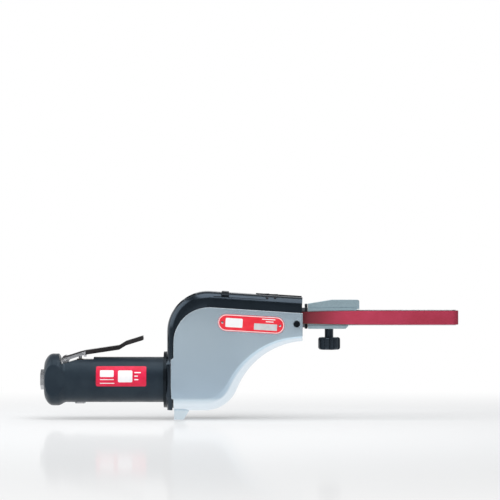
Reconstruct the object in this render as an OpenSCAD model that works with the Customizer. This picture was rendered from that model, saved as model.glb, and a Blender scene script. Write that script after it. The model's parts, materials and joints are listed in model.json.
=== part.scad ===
// Air driven belt file: a vane motor in the grip, a belt head with a hinged cover, and a slim arm.
// The belt runs round a drive wheel on the motor shaft, over two idlers that turn it a quarter
// round, and along the arm to a small wheel at its tip.
// X runs from the air inlet to the tip, Z is up, and the hinged cover faces -Y.

/* [Grip] */
// Radius of the grip
grip_r = 20.6; // [20:0.1:21]
// Station of the grip's rear edge, measured from the air inlet's mouth
grip_rear = 3.9; // [2:0.1:4.4]
// Station of the grip's front end
grip_front = 112.2; // [110:0.2:118]
// Height of the swollen rear end above the grip
pommel_swell = 3; // [2:0.1:4]
// Length of the swollen rear end
pommel_len = 12.1; // [11:0.1:14]
// Length of the dome that closes the swollen end
pommel_dome = 7.4; // [6:0.1:9]
// Length over which the swollen end blends into the grip
pommel_blend = 7.6; // [6:0.2:9]
// Fall of the two flats on the swollen end, from their front edge to the inlet's mouth
flat_fall = 2.6; // [1.5:0.1:2.8]

/* [Motor] */
// Wall of the grip round the motor housing
grip_wall = 3.1; // [2.8:0.1:3.4]
// Wall of the motor housing round the motor
housing_wall = 2.2; // [1.8:0.1:2.6]
// Distance from the outside of the motor cylinder to the rotor
cylinder_wall = 4; // [3.6:0.1:4.4]
// Distance from the valve to the rear end of the motor
valve_room = 20.1; // [18:0.1:22]
// Radius of the drive end of the rotor shaft
shaft_r = 4; // [3.5:0.1:4.4]
// Number of rotor vanes
vane_count = 5; // [4:1:6]
// Radius of the inlet's threaded bore
inlet_r = 5.6; // [5:0.1:6]

/* [Throttle] */
// Length of the throttle lever
lever_len = 73.4; // [66:0.2:80]
// Rise of the throttle lever from its rear end to its tip
lever_rise = 19.8; // [18.6:0.2:22]
// Width of the throttle lever
lever_w = 13; // [12:0.2:15]
// Thickness of the lever's sheet
lever_sheet = 1.4; // [1:0.1:1.6]
// Station of the valve and the speed regulator
valve_x = 35.9; // [35.4:0.1:36.2]

/* [Belt drive] */
// Length of the belt loop
belt_len = 609.6; // [580:0.2:620]
// Width of the belt
belt_w = 12.7; // [11.5:0.1:13]
// Thickness of the belt
belt_t = 0.9; // [0.7:0.05:1]
// Radius of the drive wheel
wheel_r = 11.3; // [11:0.1:11.6]
// Radius of the two idlers
idler_r = 10; // [9.4:0.1:10.2]
// Radius of the tip wheel
tip_r = 5; // [4.6:0.1:5.2]
// Distance from the grip's front end to the middle of the drive wheel
drive_reach = 36.8; // [36:0.1:38]
// Height of the arm above the motor's axis
arm_z = 56.4; // [55:0.1:58]

/* [Head] */
// Half width of the belt housing
head_half = 22.2; // [21.8:0.1:23]
// Wall of the belt housing
wall = 2.5; // [2:0.1:2.8]
// Radius of the hood's rear corner
hood_r = 36.5; // [35.5:0.1:37.5]
// Fillet along the hood's edges
hood_fillet = 9; // [7:0.2:10]
// Fall of the hood's top towards the front, in degrees
hood_slope = 3.7; // [3:0.1:4.2]
// Radius of the round lower end of the head
boot_r = 31; // [30:0.1:32]
// Fillet along the lower edge of the cover and the housing, at the round lower end
rim_fillet = 11; // [10:0.1:12]
// The same fillet at the front end
rim_front = 4.4; // [3.6:0.1:6]
// Thickness of the cover
cover_t = 2; // [1.6:0.1:2.4]
// Distance from the drive wheel to the front end of the head
head_len = 89; // [87:0.2:91]
// Length of the nameplate
plate_len = 60; // [54:0.5:64]
// Height of the nameplate
plate_h = 15.2; // [13:0.2:16]

/* [Arm] */
// Thickness of the tension bar
bar_t = 6.4; // [5.8:0.1:6.6]
// Height of the tension bar
bar_h = 18; // [17:0.2:18.4]
// Travel of the tension bar
bar_travel = 8; // [6:0.2:8]
// Length of the arm holder
holder_len = 46.8; // [44:0.2:50]
// Thickness of the arm holder's web
holder_t = 10; // [9.4:0.1:10.2]
// Height of the contact arm
arm_h = 14; // [13:0.2:14.4]
// Thickness of the contact arm
arm_t = 8.4; // [7.6:0.1:8.6]
// Radius of the tracking knob
knob_r = 10.15; // [9:0.1:11]
// Length of the tracking knob's head
knob_len = 11.4; // [10:0.2:13]

/* [Hidden] */
$fn = 64;

// Fits: the overrun of every cut, a turning fit, and the gap where faces of two bodies pass
over = 1;
slip = 0.04;
pass = 0.3;
// Steps of an arc in an outline
arc_steps = 10;

// Grip and inlet
pommel_r = grip_r + pommel_swell;
housing_r = grip_r - grip_wall;
motor_r = housing_r - housing_wall;
rotor_r = motor_r - cylinder_wall;
dome_in = 6;
flat_lip = 0.1;
flat_front = grip_r + flat_lip;
pommel_end = grip_rear + pommel_len;
pommel_front = pommel_end + pommel_blend;
blend_steps = 8;
block_rear = 9;
muffler_lip = 1.2;
muffler_r = housing_r - muffler_lip;
dome_r = pommel_r - dome_in;
dome_turn = asin((muffler_r - dome_in) / dome_r);
dome_reach = pommel_dome / cos(dome_turn);
muffler_in = 8.6;
muffler_rear = 4.6;
muffler_slots = 12;
muffler_slot_w = 2;
muffler_slot_share = 0.57;
bushing_r = 8;
bushing_hex_r = 9.2;
bushing_rim = 3.4;
bushing_len = 20;
inlet_depth = 14;
inlet_throat_r = 4.4;
passage_r = 5;

// Throttle lever, its pin, and the notch in the grip that it sits in
pin_x = 22.9;
pin_sunk = 1.6;
pin_z = grip_r - pin_sunk;
lever_pin_r = 1.5;
lever_pin_proud = 0.6;
lug_r = 3;
lug_half = 4;
lug_neck_share = 0.85;
lug_root = 9;
ear_r = 3.2;
lug_slot_gap = 0.6;
lug_slot_front = 4.3;
notch_back = 6.6;
notch_foot_back = 3.4;
notch_foot_drop = 4.8;
notch_front_run = 10.7;
notch_front_drop = 0.6;
notch_top = pommel_r + over;
lever_tail = 2.9;
lever_lift = 1.4;
lever_rear = pin_x - lever_tail;
lever_low = pin_z + lever_lift;
lever_flange = 4.2;
lever_half = lever_w / 2;
lever_shares = [[0, 0], [0.222, 0.273], [0.283, 0.328], [0.704, 0.561], [0.79, 0.758], [1, 1]];
lever_top = [for (s = lever_shares) [lever_rear + s[0] * lever_len, lever_low + s[1] * lever_rise]];
lever_slope = atan2(lever_top[1][1] - lever_top[0][1], lever_top[1][0] - lever_top[0][0]);

// Lock-off lever, hung between the throttle lever's flanges, and the recess below it
lock_reach = 17.6;
lock_pin_r = 0.7;
lock_eye_r = 1.4;
lock_ear_r = 1.7;
lock_half = 4.2;
lock_t = 2.4;
lock_len = 2.8;
lock_x = pin_x + lock_reach;
lock_z = lookup(lock_x, lever_top) - lever_sheet - pass - lock_eye_r;
recess_back = 7;
recess_run = 8;
recess_rear = lock_x - recess_back;
recess_front = lock_x + recess_run;
recess_depth = 2.2;

// Valve under the throttle lever, and the speed regulator below it
stem_r = 1.5;
stem_top = lever_low + (valve_x - lever_rear) * tan(lever_slope) - lever_sheet
  - (stem_r + pass) / cos(lever_slope);
valve_bush_r = 3;
valve_bush_sunk = 1.6;
valve_bush_top = grip_r - valve_bush_sunk;
valve_bore_r = 4.5;
valve_seat_z = 6;
seal_t = 2;
seal_r = 3.9;
valve_head_t = 2;
valve_head_r = 3.6;
valve_head_low = valve_seat_z - pass - seal_t - valve_head_t;
valve_spring_low = -8;
valve_spring_r = 2.9;
valve_wire_r = 0.4;
valve_spring_turns = 5;
spring_gap = 0.2;
regulator_top = valve_spring_low - spring_gap;
regulator_proud = 1;
regulator_rim = 1.6;
regulator_rim_r = 4.9;
regulator_slot_w = 1.2;
regulator_slot_depth = 1;

// Motor, held between the valve block and the nut at the grip's front end
nut_len = 5.5;
end_plate_len = 6;
nut_sunk = 0.7;
nut_front = grip_front - nut_sunk;
nut_rear = nut_front - nut_len;
cylinder_front = nut_rear - end_plate_len;
bulkhead = valve_x + valve_room;
cylinder_rear = bulkhead + end_plate_len;
nut_rim = 5.3;
nut_bore_r = motor_r - nut_rim;
nut_slot_w = 3;
nut_slot_depth = 2.4;
rotor_offset = 1;
rotor_end_gap = 0.3;
rotor_side_gap = 0.2;
cylinder_bore_r = rotor_r + rotor_offset + rotor_side_gap;
rear_shaft_r = 3;
rear_bearing_rim = 5.8;
rear_bearing_r = motor_r - rear_bearing_rim;
front_bearing_rim = 4.3;
front_bearing_r = motor_r - front_bearing_rim;
bearing_lip = 1;
bearing_ring_share = 0.3;
bearing_shield_in = 0.6;
vane_t = 1.8;
vane_slot_t = 2;
vane_root_share = 0.478;
vane_short = 0.1;
exhaust_holes = 5;
exhaust_hole_r = 1.8;
exhaust_from = 110;
exhaust_step = 35;

// Collar and rear boss of the head
collar_len = 2.6;
collar_lip = 4.9;
collar_r = grip_r + collar_lip;
collar_front = grip_front + collar_len;
boss_len = 6;
boss_front = collar_front + boss_len;
boss_lip = 5.4;
boss_r = grip_r + boss_lip;
housing_short = 2.8;
housing_front = boss_front - housing_short;
hub_r = 14;
hub_len = 7.4;
hub_front = boss_front + hub_len;
hub_bore_r = 7;
hub_bearing_r = 11;
housing_screw_r = 1.5;
housing_screw_head_r = 2.6;
housing_screw_head = 3;
housing_screw_out = 3.5;
housing_screw_circle = housing_r + housing_screw_out;
housing_screw_hex_r = 1.5;
housing_screw_hex_depth = 1.6;

// Belt loop: pitch radii and the places of its four wheels
belt_gap = 0.25;
belt_ride = belt_gap + belt_t / 2;
drive_pitch = wheel_r + belt_ride;
idler_pitch = idler_r + belt_ride;
tip_pitch = tip_r + belt_ride;
drive_x = grip_front + drive_reach;
idler_x = drive_x + idler_pitch;
idler_z = arm_z - idler_pitch;
run_len = (belt_len - PI * (drive_pitch + idler_pitch + tip_pitch) - 2 * idler_z) / 2;
run_in = drive_pitch - tip_pitch;
run_x = sqrt(run_len * run_len - run_in * run_in);
tip_x = idler_x + run_x;
twist_power = 1.9;
wheel_steps = 24;
idler_steps = 12;
rise_steps = 10;
run_steps = 24;
tip_steps = 16;

// Drive wheel
wheel_side = 0.65;
wheel_half = belt_w / 2 + wheel_side;
tyre_t = 1.8;
wheel_screw_head_r = 6;
wheel_screw_head = 2.4;
wheel_screw_r = 2;
wheel_screw_len = 12;

// Idlers on their shaft
idler_shaft_r = 4;
idler_side = 0.35;
idler_half = belt_w / 2 + idler_side;
idler_in = drive_pitch - idler_half;
idler_out = drive_pitch + idler_half;
idler_bearing_r = 8;
idler_bearing_w = 5;
spacer_r = 5.4;
clip_r = 6.2;
clip_t = 0.8;
clip_groove = 0.6;
idler_end_gap = 0.15;
idler_boss_r = 6.2;

// Hood: its corner arc, its sloping top line and its skirt behind the cover's upper edge
hood_ahead = 3;
hood_x = drive_x + hood_ahead;
hood_z = 44;
hood_skirt = 22;
hood_rear = hood_x - hood_r;
hood_turn = 90 - hood_slope;
hood_start = [hood_x, hood_z] + hood_r * [cos(hood_turn), sin(hood_turn)];
head_front = drive_x + head_len;
hood_run = (head_front - hood_start[0]) / cos(hood_slope);
function hood_top(x) = hood_start[1] - (x - hood_start[0]) * tan(hood_slope);
function hood_under(x) = hood_top(x) - wall / cos(hood_slope);
vents = 2;
vent_from = 107;
vent_sweep = 16;
vent_pitch = 20;
vent_in = 14.4;
vent_out = 17.8;
vent_depth = 5.4;
pad_half = 9;
pad_proud = 0.9;
pad_bevel = 1;
pad_ahead = 47;
pad_in = 0.6;
pad_rear = drive_x + pad_ahead;
pad_front = head_front - pad_in;

// Lower edge of the head: the round boot and the hollow curve up to the front
boot_ahead = 1;
boot_x = drive_x + boot_ahead;
boot_z = 3.5;
boot_c = [boot_x, boot_z];
hollow_ahead = 94;
hollow_x = drive_x + hollow_ahead;
hollow_z = -33;
hollow_c = [hollow_x, hollow_z];
boot_low = boot_z - boot_r;
hollow_r = norm(hollow_c - boot_c) - boot_r;
boot_turn = atan2(hollow_z - boot_z, hollow_x - boot_x);
hollow_end = 90 + asin((hollow_x - head_front) / hollow_r);
lap = 1;
rim_part = 0.2;
rear_lift = 0.7;
rear_low = boot_low + rear_lift;
boot_steps = 14;
fillet_steps = 7;

// Screws of the rear shell, placed from the drive wheel
shell_screws = [[-24, 30], [20, 60], [70, 56]];
shell_screw_r = 1.6;
shell_screw_head_r = 2.8;
shell_screw_head = 1.4;
shell_screw_slot_w = 0.9;

// Cover: its plate in front of the hood, and its finger foot
cover_back = head_half + pass;
cover_front = cover_back + cover_t;
cover_top_front = 60.8;
cover_slope = 3.6;
cover_corner_r = 32;
cover_corner_ahead = 4.5;
cover_corner_x = drive_x + cover_corner_ahead;
cover_corner_z = 34.1;
cover_ledge_z = 20.6;
cover_ledge = 2.4;
cover_ledge_fall = 2;
cover_tail_z = -5;
cover_tail_in = 1.8;
cover_rear = cover_corner_x - cover_corner_r;
foot_low = 8.1;
foot_len = 9;
foot_reach = 14.6;
foot_from = 3;
foot_to = 15.5;
pivot_in = 5.4;
pivot_drop = 5.2;
pivot_x = head_front - pivot_in;
pivot_z = arm_z - pivot_drop;
pivot_r = 2;
pivot_head_r = 3;
pivot_head = 1.2;
pivot_slot_w = 0.8;
pivot_slot_depth = 0.6;
tab_rear = 11.8;
tab_low = 7.2;
tab_high = 12;

// Nameplate on the cover
plate_ahead = 42.6;
plate_x = drive_x + plate_ahead;
plate_z = 51.2;
plate_tilt = 3.4;
plate_t = 0.6;
plate_rivet_r = 1.1;
plate_rivet_proud = 0.5;
plate_rivet_in = 4;

// Arm guide under the hood's top
guide_wall = 1.3;
guide_cap = 1.6;
guide_half = bar_t / 2 + guide_wall;
guide_ahead = 27;
guide_in = 8;
guide_rear = drive_x + guide_ahead;
guide_front = head_front - guide_in;
guide_back_wall = 3;
guide_high = arm_z + bar_h / 2 + guide_cap;
stand_back = 14;
stand_half = 8;
stand_rear = guide_rear + stand_back;
shelf_lift = 0.8;
shelf_low = guide_high + shelf_lift;
shelf_half = 5;
guide_screw_ahead = 56;
guide_screw_pitch = 8;
guide_screw_xs = [for (i = [0, 1]) drive_x + guide_screw_ahead + i * guide_screw_pitch];
guide_screw_r = 1.6;
guide_screw_head_r = 2.9;
guide_screw_head = 1.1;
guide_screw_len = 9;
guide_screw_slot_w = 0.9;
guide_screw_slot_depth = 0.7;

// Lock button in the hood's top, with a stem that drops behind the bar's hook
button_ahead = 19.2;
button_x = drive_x + button_ahead;
button_len = 6.4;
button_proud = 1;
button_back = 5;
button_turn = 48;
button_out = head_half - hood_fillet + (hood_fillet + button_proud) * sin(button_turn);
button_flange_r = 4.6;
button_flange = 1.6;
button_stem_r = 2.2;
button_fit = 0.15;
button_flange_top = hood_under(button_x + button_flange_r) - pass;
button_spring_r = 3;
button_wire_r = 0.35;
button_spring_turns = 3;
shelf_t = 1.7;
shelf_back = 5;
shelf_high = shelf_low + shelf_t;
shelf_rear = button_x - shelf_back;

// Tension bar: a rear strip with a hook, the bar in its guide, and a tongue in the holder
bar_half = bar_h / 2;
bar_ahead = 5;
spring_least = 13;
bar_front = head_front + bar_ahead;
bar_rear = guide_rear + guide_back_wall + spring_least + bar_travel;
bar_fit = 0.05;
strip_h = 3.5;
hook_rear = button_x + button_stem_r + pass;
hook_len = 3;
hook_gap = 0.5;
hook_high = shelf_low - hook_gap;
tongue_len = 25;
tongue_half_h = 5.4;
tongue_t = 5.6;
tension_spring_drop = 2.5;
tension_spring_z = arm_z - tension_spring_drop;
tension_spring_r = 2.3;
tension_wire_r = 0.45;
tension_spring_turns = 9;
bumper_back = 2.6;
bumper_len = bumper_back - pass;
bumper_half = 4.9;
bumper_round = 1.4;
bumper_low = 10.1;
bumper_high = 12.5;

// Arm holder: a web between two flanges, tilting on a pin through the tongue
arm_pin_ahead = 7;
arm_pin_x = bar_front + arm_pin_ahead;
arm_pin_r = 2;
holder_rear = bar_front + pass;
holder_front = bar_front + holder_len;
holder_half = holder_t / 2;
flange_half = 7;
holder_low = 10.1;
flange_low_t = 3.1;
flange_low_len = 36.4;
flange_bevel = 2.4;
flange_groove = 1;
flange_groove_in = 9;
flange_up_low = 7.8;
flange_up_high = 16.2;
flange_up_drop = 3.6;
flange_up_ramp = 22;
flange_up_round = 1.6;
web_in = 2.2;
tongue_side_gap = 0.3;
tongue_end_gap = 1.2;
tongue_up_gap = 1.2;

// Contact arm with a fork at its tip
arm_joint_ahead = 29;
arm_joint_x = bar_front + arm_joint_ahead;
arm_root_x = holder_front - web_in;
arm_tongue_t = 4.4;
arm_half_h = arm_h / 2;
arm_half_t = arm_t / 2;
arm_fit = 0.1;
fork_in = 6.6;
fork_gap = 0.3;
tip_half = 5.3;
tip_axle_r = 2;
bush_r = 3.2;
tip_crown = 0.1;
arm_screw_r = 1.5;
arm_screw_in = 4;
arm_screw_pitch = 8;
arm_screw_xs = [for (i = [0, 1]) arm_joint_x + arm_screw_in + i * arm_screw_pitch];
arm_screw_hex_r = 1;
arm_screw_hex_depth = 1.2;
platen_t = 0.8;
platen_half_h = 6.2;
platen_in = 8;
platen_front_in = 10;
pocket_depth = 1.2;
pocket_half_h = 4.4;

// Tracking knob under the arm holder
knob_ahead = 19.5;
knob_x = bar_front + knob_ahead;
knob_neck_r = 3.95;
knob_neck = 7.5;
knob_lobes = 7;
knob_lobe_r = 2.6;
knob_lobe_in_share = 0.9;
knob_phase_share = 0.5;
knob_gap = 0.2;
knob_dish = 1;
knob_round = 2.2;
stud_r = 2.5;
stud_gap = 0.5;
stud_sunk = 8;

// Outlines, coils and simple solids
function arc(c, r, from, to, n = arc_steps) =
  [for (i = [0:n]) let (a = from + (to - from) * i / n) c + r * [cos(a), sin(a)]];
function turned(list) = [for (i = [len(list) - 1:-1:0]) list[i]];
function lowered(list, drop) = [for (p = list) p - [0, drop]];

module rod_x(from, to, r) translate([from, 0, 0]) rotate([0, 90, 0]) cylinder(r = r, h = to - from);
module rod_y(from, to, r) translate([0, from, 0]) rotate([-90, 0, 0]) cylinder(r = r, h = to - from);
module rod_z(from, to, r) translate([0, 0, from]) cylinder(r = r, h = to - from);
module block(low, high) translate(low) cube(high - low);
module spun_x() rotate([0, 90, 0]) rotate_extrude() children();
// A side view drawn in X and Z, made solid between two depths towards the cover
module side(from, to) rotate([90, 0, 0]) translate([0, 0, from]) linear_extrude(to - from) children();
// A side profile swept straight from a point of the side view; its own X points to the left
module run(at, angle, length) translate(at) rotate([0, 0, angle]) rotate([90, 0, 90])
  linear_extrude(length) children();
module swept(at, from, angle) translate(at) rotate([0, 0, from]) rotate_extrude(angle = angle) children();

// A coil spring along Z: one unbroken tube of six sides with eight rings a turn
coil_sides = 6;
coil_rings = 8;
function coil_ring(r, wire, length, turns, i) =
  let (a = 360 * i / coil_rings, z = wire + (length - 2 * wire) * i / (turns * coil_rings))
  [for (k = [0:coil_sides - 1]) let (b = 360 * k / coil_sides, q = r + wire * cos(b))
    [q * cos(a), q * sin(a), z + wire * sin(b)]];
module coil_spring(r, wire, length, turns) {
  rings = turns * coil_rings;
  points = [for (i = [0:rings]) each coil_ring(r, wire, length, turns, i)];
  sides = [for (i = [0:rings - 1], k = [0:coil_sides - 1]) let (m = (k + 1) % coil_sides,
    a = i * coil_sides + k, b = i * coil_sides + m, c = a + coil_sides, d = b + coil_sides)
    each [[a, b, c], [b, d, c]]];
  first = [for (k = [1:coil_sides - 2]) [0, k + 1, k]];
  end = rings * coil_sides;
  last = [for (k = [1:coil_sides - 2]) [end, end + k, end + k + 1]];
  polyhedron(points, concat(sides, first, last));
}
// Least gap between neighbouring turns, measured on the middle points of the wire
function coil_gap(r, wire, length, turns) = min([for (i = [0:(turns - 1) * coil_rings])
  let (p = coil_ring(r, 0, length - 2 * wire, turns, i)[0],
    q = coil_ring(r, 0, length - 2 * wire, turns, i + coil_rings)[0]) norm(p - q)]) - 2 * wire;

// A shielded ball bearing round X, made as its two rings and the shield between them
module bearing(from, to, r_out, r_in) {
  ring = (r_out - r_in) * bearing_ring_share;
  spun_x() polygon([[r_in, from], [r_in, to], [r_in + ring, to], [r_in + ring, to - bearing_shield_in],
    [r_out - ring, to - bearing_shield_in], [r_out - ring, to], [r_out, to], [r_out, from],
    [r_out - ring, from], [r_out - ring, from + bearing_shield_in],
    [r_in + ring, from + bearing_shield_in], [r_in + ring, from]]);
}

// Grip, motor housing and air inlet
module lever_notch() side(-pommel_r - over, pommel_r + over)
  polygon([[pin_x - notch_back, notch_top], [pin_x - notch_foot_back, pin_z - notch_foot_drop],
    [pin_x + notch_front_run, pin_z - notch_front_drop], [pin_x + notch_front_run, notch_top]]);
module valve_bores() translate([valve_x, 0, 0]) {
  rod_z(0, grip_r + over, valve_bush_r);
  rod_z(-grip_r - over, valve_seat_z, valve_bore_r);
  rod_z(-grip_r - over, -grip_r + regulator_rim, regulator_rim_r + slip);
}
module grip_profile() polygon(concat(
  [[housing_r, block_rear], [housing_r, grip_front], [grip_r, grip_front]],
  [for (i = [0:blend_steps]) let (s = i / blend_steps)
    [grip_r + (pommel_r - grip_r) * (1 - cos(180 * s)) / 2, pommel_front - pommel_blend * s]],
  [for (i = [arc_steps:-1:0]) let (a = dome_turn + (90 - dome_turn) * i / arc_steps)
    [dome_in + dome_r * sin(a), grip_rear + pommel_dome - dome_reach * cos(a)]],
  [[muffler_r, block_rear]]));
module pommel_flats() for (m = [0, 1]) mirror([0, m, 0]) translate([0, 0, -pommel_r - over])
  linear_extrude(2 * (pommel_r + over)) polygon([[0, flat_front - flat_fall], [pommel_front, flat_front],
    [pommel_front, pommel_r + over], [0, pommel_r + over]]);
module handle_grip() color("#26272a") difference() {
  spun_x() grip_profile();
  lever_notch();
  valve_bores();
  block([recess_rear, -pommel_r, grip_r - recess_depth], [recess_front, pommel_r, pommel_r]);
  pommel_flats();
}
module lever_lug() side(-lug_half, lug_half) difference() {
  union() {
    translate([pin_x, pin_z]) circle(lug_r);
    translate([pin_x - lug_r * lug_neck_share, pin_z - lug_root])
      square([2 * lug_r * lug_neck_share, lug_root]);
  }
  translate([pin_x, pin_z]) circle(lever_pin_r);
}
module motor_housing() color("#8d9094") {
  difference() {
    spun_x() polygon([[passage_r, block_rear], [housing_r, block_rear], [housing_r, housing_front],
      [motor_r, housing_front], [motor_r, bulkhead], [0, bulkhead], [0, valve_x], [passage_r, valve_x]]);
    rod_x(block_rear - over, bushing_len, bushing_r);
    lever_notch();
    valve_bores();
  }
  lever_lug();
}
module inlet_bushing() color("#b9bcc0") difference() {
  union() {
    rod_x(bushing_rim, bushing_len, bushing_r);
    rotate([0, 90, 0]) cylinder(r = bushing_hex_r, h = bushing_rim, $fn = 6);
  }
  rod_x(-over, inlet_depth, inlet_r);
  rod_x(0, bushing_len + over, inlet_throat_r);
}
module muffler_ring() color("#4a4c50") difference() {
  slot_h = (muffler_r - muffler_in) * muffler_slot_share;
  spun_x() polygon([[muffler_in, muffler_rear], [muffler_r, muffler_rear], [muffler_r, block_rear],
    [muffler_in, block_rear]]);
  for (i = [0:muffler_slots - 1]) rotate([360 * i / muffler_slots, 0, 0])
    translate([muffler_rear - over, -muffler_slot_w / 2, (muffler_in + muffler_r - slot_h) / 2])
      cube([block_rear, muffler_slot_w, slot_h]);
}

// Valve, speed regulator, throttle lever and lock-off lever
module valve_seat() color("#b08d4a") translate([valve_x, 0, 0]) difference() {
  rod_z(valve_seat_z, valve_bush_top, valve_bush_r);
  rod_z(0, valve_bush_top + over, stem_r + slip);
}
module valve_stem() color("#b9bcc0") translate([valve_x, 0, 0]) rotate_extrude()
  polygon(concat([[0, valve_head_low], [valve_head_r, valve_head_low],
    [valve_head_r, valve_head_low + valve_head_t], [stem_r, valve_head_low + valve_head_t]],
    arc([0, stem_top], stem_r, 0, 90)));
module valve_seal() color("#1e1e20") translate([valve_x, 0, valve_head_low + valve_head_t]) difference() {
  rod_z(0, seal_t, seal_r);
  rod_z(-over, seal_t + over, stem_r);
}
valve_spring_len = valve_head_low - valve_spring_low - spring_gap;
module valve_spring() color("#9a9da1") translate([valve_x, 0, valve_spring_low])
  coil_spring(valve_spring_r, valve_wire_r, valve_spring_len, valve_spring_turns);
module speed_regulator() color("#b9bcc0") translate([valve_x, 0, 0]) difference() {
  union() {
    rod_z(-grip_r, regulator_top, valve_bore_r - slip);
    rod_z(-grip_r - regulator_proud, -grip_r + regulator_rim - slip, regulator_rim_r);
  }
  block([-grip_r, -regulator_slot_w / 2, -grip_r - regulator_proud - over],
    [grip_r, regulator_slot_w / 2, -grip_r - regulator_proud + regulator_slot_depth]);
}
module lever_pin() color("#c9ccd0") translate([pin_x, 0, pin_z])
  rod_y(-lever_half - lever_pin_proud, lever_half + lever_pin_proud, lever_pin_r);
module lever_band(from, to) polygon(concat(lowered(lever_top, from), turned(lowered(lever_top, to))));
module throttle_lever() color("#d3d6da") difference() {
  union() {
    side(-lever_half, lever_half) lever_band(0, lever_sheet);
    for (m = [0, 1]) mirror([0, m, 0]) side(lever_half - lever_sheet, lever_half) union() {
      lever_band(0, lever_flange);
      translate([pin_x, pin_z]) circle(ear_r);
      translate([lock_x, lock_z]) circle(lock_ear_r);
    }
  }
  block([lever_rear - over, -lug_half - lug_slot_gap, pin_z],
    [pin_x + lug_slot_front, lug_half + lug_slot_gap, pommel_r + over]);
  translate([pin_x, 0, pin_z]) rod_y(-lever_w, lever_w, lever_pin_r + slip);
  translate([lock_x, 0, lock_z]) rod_y(-lever_w, lever_w, lock_pin_r);
}
module lock_off_pin() color("#c9ccd0") translate([lock_x, 0, lock_z])
  rod_y(-lever_half, lever_half, lock_pin_r);
module lock_off_lever() color("#d3d6da") side(-lock_half, lock_half)
  translate([lock_x, lock_z]) difference() {
  union() {
    circle(lock_eye_r);
    translate([-lock_t / 2, -lock_len]) square([lock_t, lock_len]);
  }
  circle(lock_pin_r + slip);
}

// Vane motor
module motor_cylinder() color("#8d9094") difference() {
  rod_x(cylinder_rear, cylinder_front, motor_r);
  translate([0, 0, rotor_offset]) rod_x(cylinder_rear - over, cylinder_front + over, cylinder_bore_r);
  for (i = [0:exhaust_holes - 1]) translate([(cylinder_rear + cylinder_front) / 2, 0, 0])
    rotate([exhaust_from + i * exhaust_step, 0, 0]) rod_z(rotor_r, motor_r + over, exhaust_hole_r);
}
module end_plate(rear, front, pocket_from, pocket_to, pocket_r, hole_r) difference() {
  rod_x(rear, front, motor_r);
  rod_x(pocket_from, pocket_to, pocket_r);
  rod_x(rear - over, front + over, hole_r);
}
module rear_end_plate() color("#8d9094")
  end_plate(bulkhead, cylinder_rear, bulkhead - over, cylinder_rear - bearing_lip, rear_bearing_r,
    rear_shaft_r + bearing_lip);
module front_end_plate() color("#8d9094")
  end_plate(cylinder_front, nut_rear, cylinder_front + bearing_lip, nut_rear + over, front_bearing_r,
    shaft_r + bearing_lip);
module rear_bearing() color("#c9ccd0")
  bearing(bulkhead + pass, cylinder_rear - bearing_lip, rear_bearing_r, rear_shaft_r + slip);
module front_bearing() color("#c9ccd0")
  bearing(cylinder_front + bearing_lip, nut_rear, front_bearing_r, shaft_r + slip);
module motor_clamp_nut() color("#8d9094") difference() {
  rod_x(nut_rear, nut_front, motor_r);
  rod_x(nut_rear - over, nut_front + over, nut_bore_r);
  block([nut_front - nut_slot_depth, -motor_r, -nut_slot_w / 2],
    [nut_front + over, motor_r, nut_slot_w / 2]);
}
module vane_blades(t, from, to, r) for (i = [0:vane_count - 1]) rotate([360 * i / vane_count, 0, 0])
  block([from, -t / 2, rotor_r * vane_root_share], [to, t / 2, r]);
module rotor() color("#9a9da1") difference() {
  union() {
    rod_x(bulkhead + pass, cylinder_rear + over, rear_shaft_r);
    rod_x(cylinder_rear + rotor_end_gap, cylinder_front - rotor_end_gap, rotor_r);
    rod_x(cylinder_front - over, drive_x + wheel_half, shaft_r);
  }
  vane_blades(vane_slot_t, cylinder_rear, cylinder_front, rotor_r + over);
  rod_x(drive_x + wheel_half - wheel_screw_len, drive_x + wheel_half + over, wheel_screw_r);
}
module rotor_vanes() color("#6b5a44")
  vane_blades(vane_t, cylinder_rear + rotor_end_gap, cylinder_front - rotor_end_gap, rotor_r - vane_short);

// Collar and the screws that hold the head to it
module screw_ring() for (i = [0:3]) rotate([45 + 90 * i, 0, 0]) translate([0, 0, housing_screw_circle])
  children();
module handle_collar() color("#1d1e20") difference() {
  rod_x(grip_front, collar_front, collar_r);
  rod_x(grip_front - over, collar_front + over, housing_r);
  screw_ring() rod_x(grip_front + over, collar_front + over, housing_screw_r);
}
module housing_screws() color("#3a3b3e") screw_ring() difference() {
  union() {
    rod_x(grip_front + over, boss_front + over, housing_screw_r);
    rod_x(boss_front, boss_front + housing_screw_head, housing_screw_head_r);
  }
  translate([boss_front + housing_screw_head - housing_screw_hex_depth, 0, 0]) rotate([0, 90, 0])
    cylinder(r = housing_screw_hex_r, h = housing_screw_hex_depth + over, $fn = 6);
}

// Belt housing: a filleted hood, a back wall and a filleted lower rim, open towards the cover
module hood_profile() {
  o = head_half - hood_fillet;
  f = hood_fillet;
  n = f - wall;
  polygon(concat(
    [[-hood_skirt, head_half]], arc([-f, o], f, 90, 0), arc([-f, -o], f, 0, -90),
    [[-hood_skirt, -head_half], [-hood_skirt, wall - head_half]],
    arc([-f, -o], n, -90, 0), arc([-f, o], n, 0, 90), [[-hood_skirt, head_half - wall]]));
}
module hood() rotate([90, 0, 0]) {
  run([hood_rear, rear_low], 90, hood_z - rear_low) hood_profile();
  swept([hood_x, hood_z], hood_turn, 180 - hood_turn) translate([hood_r, 0]) hood_profile();
  run(hood_start, -hood_slope, hood_run) hood_profile();
}
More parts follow.
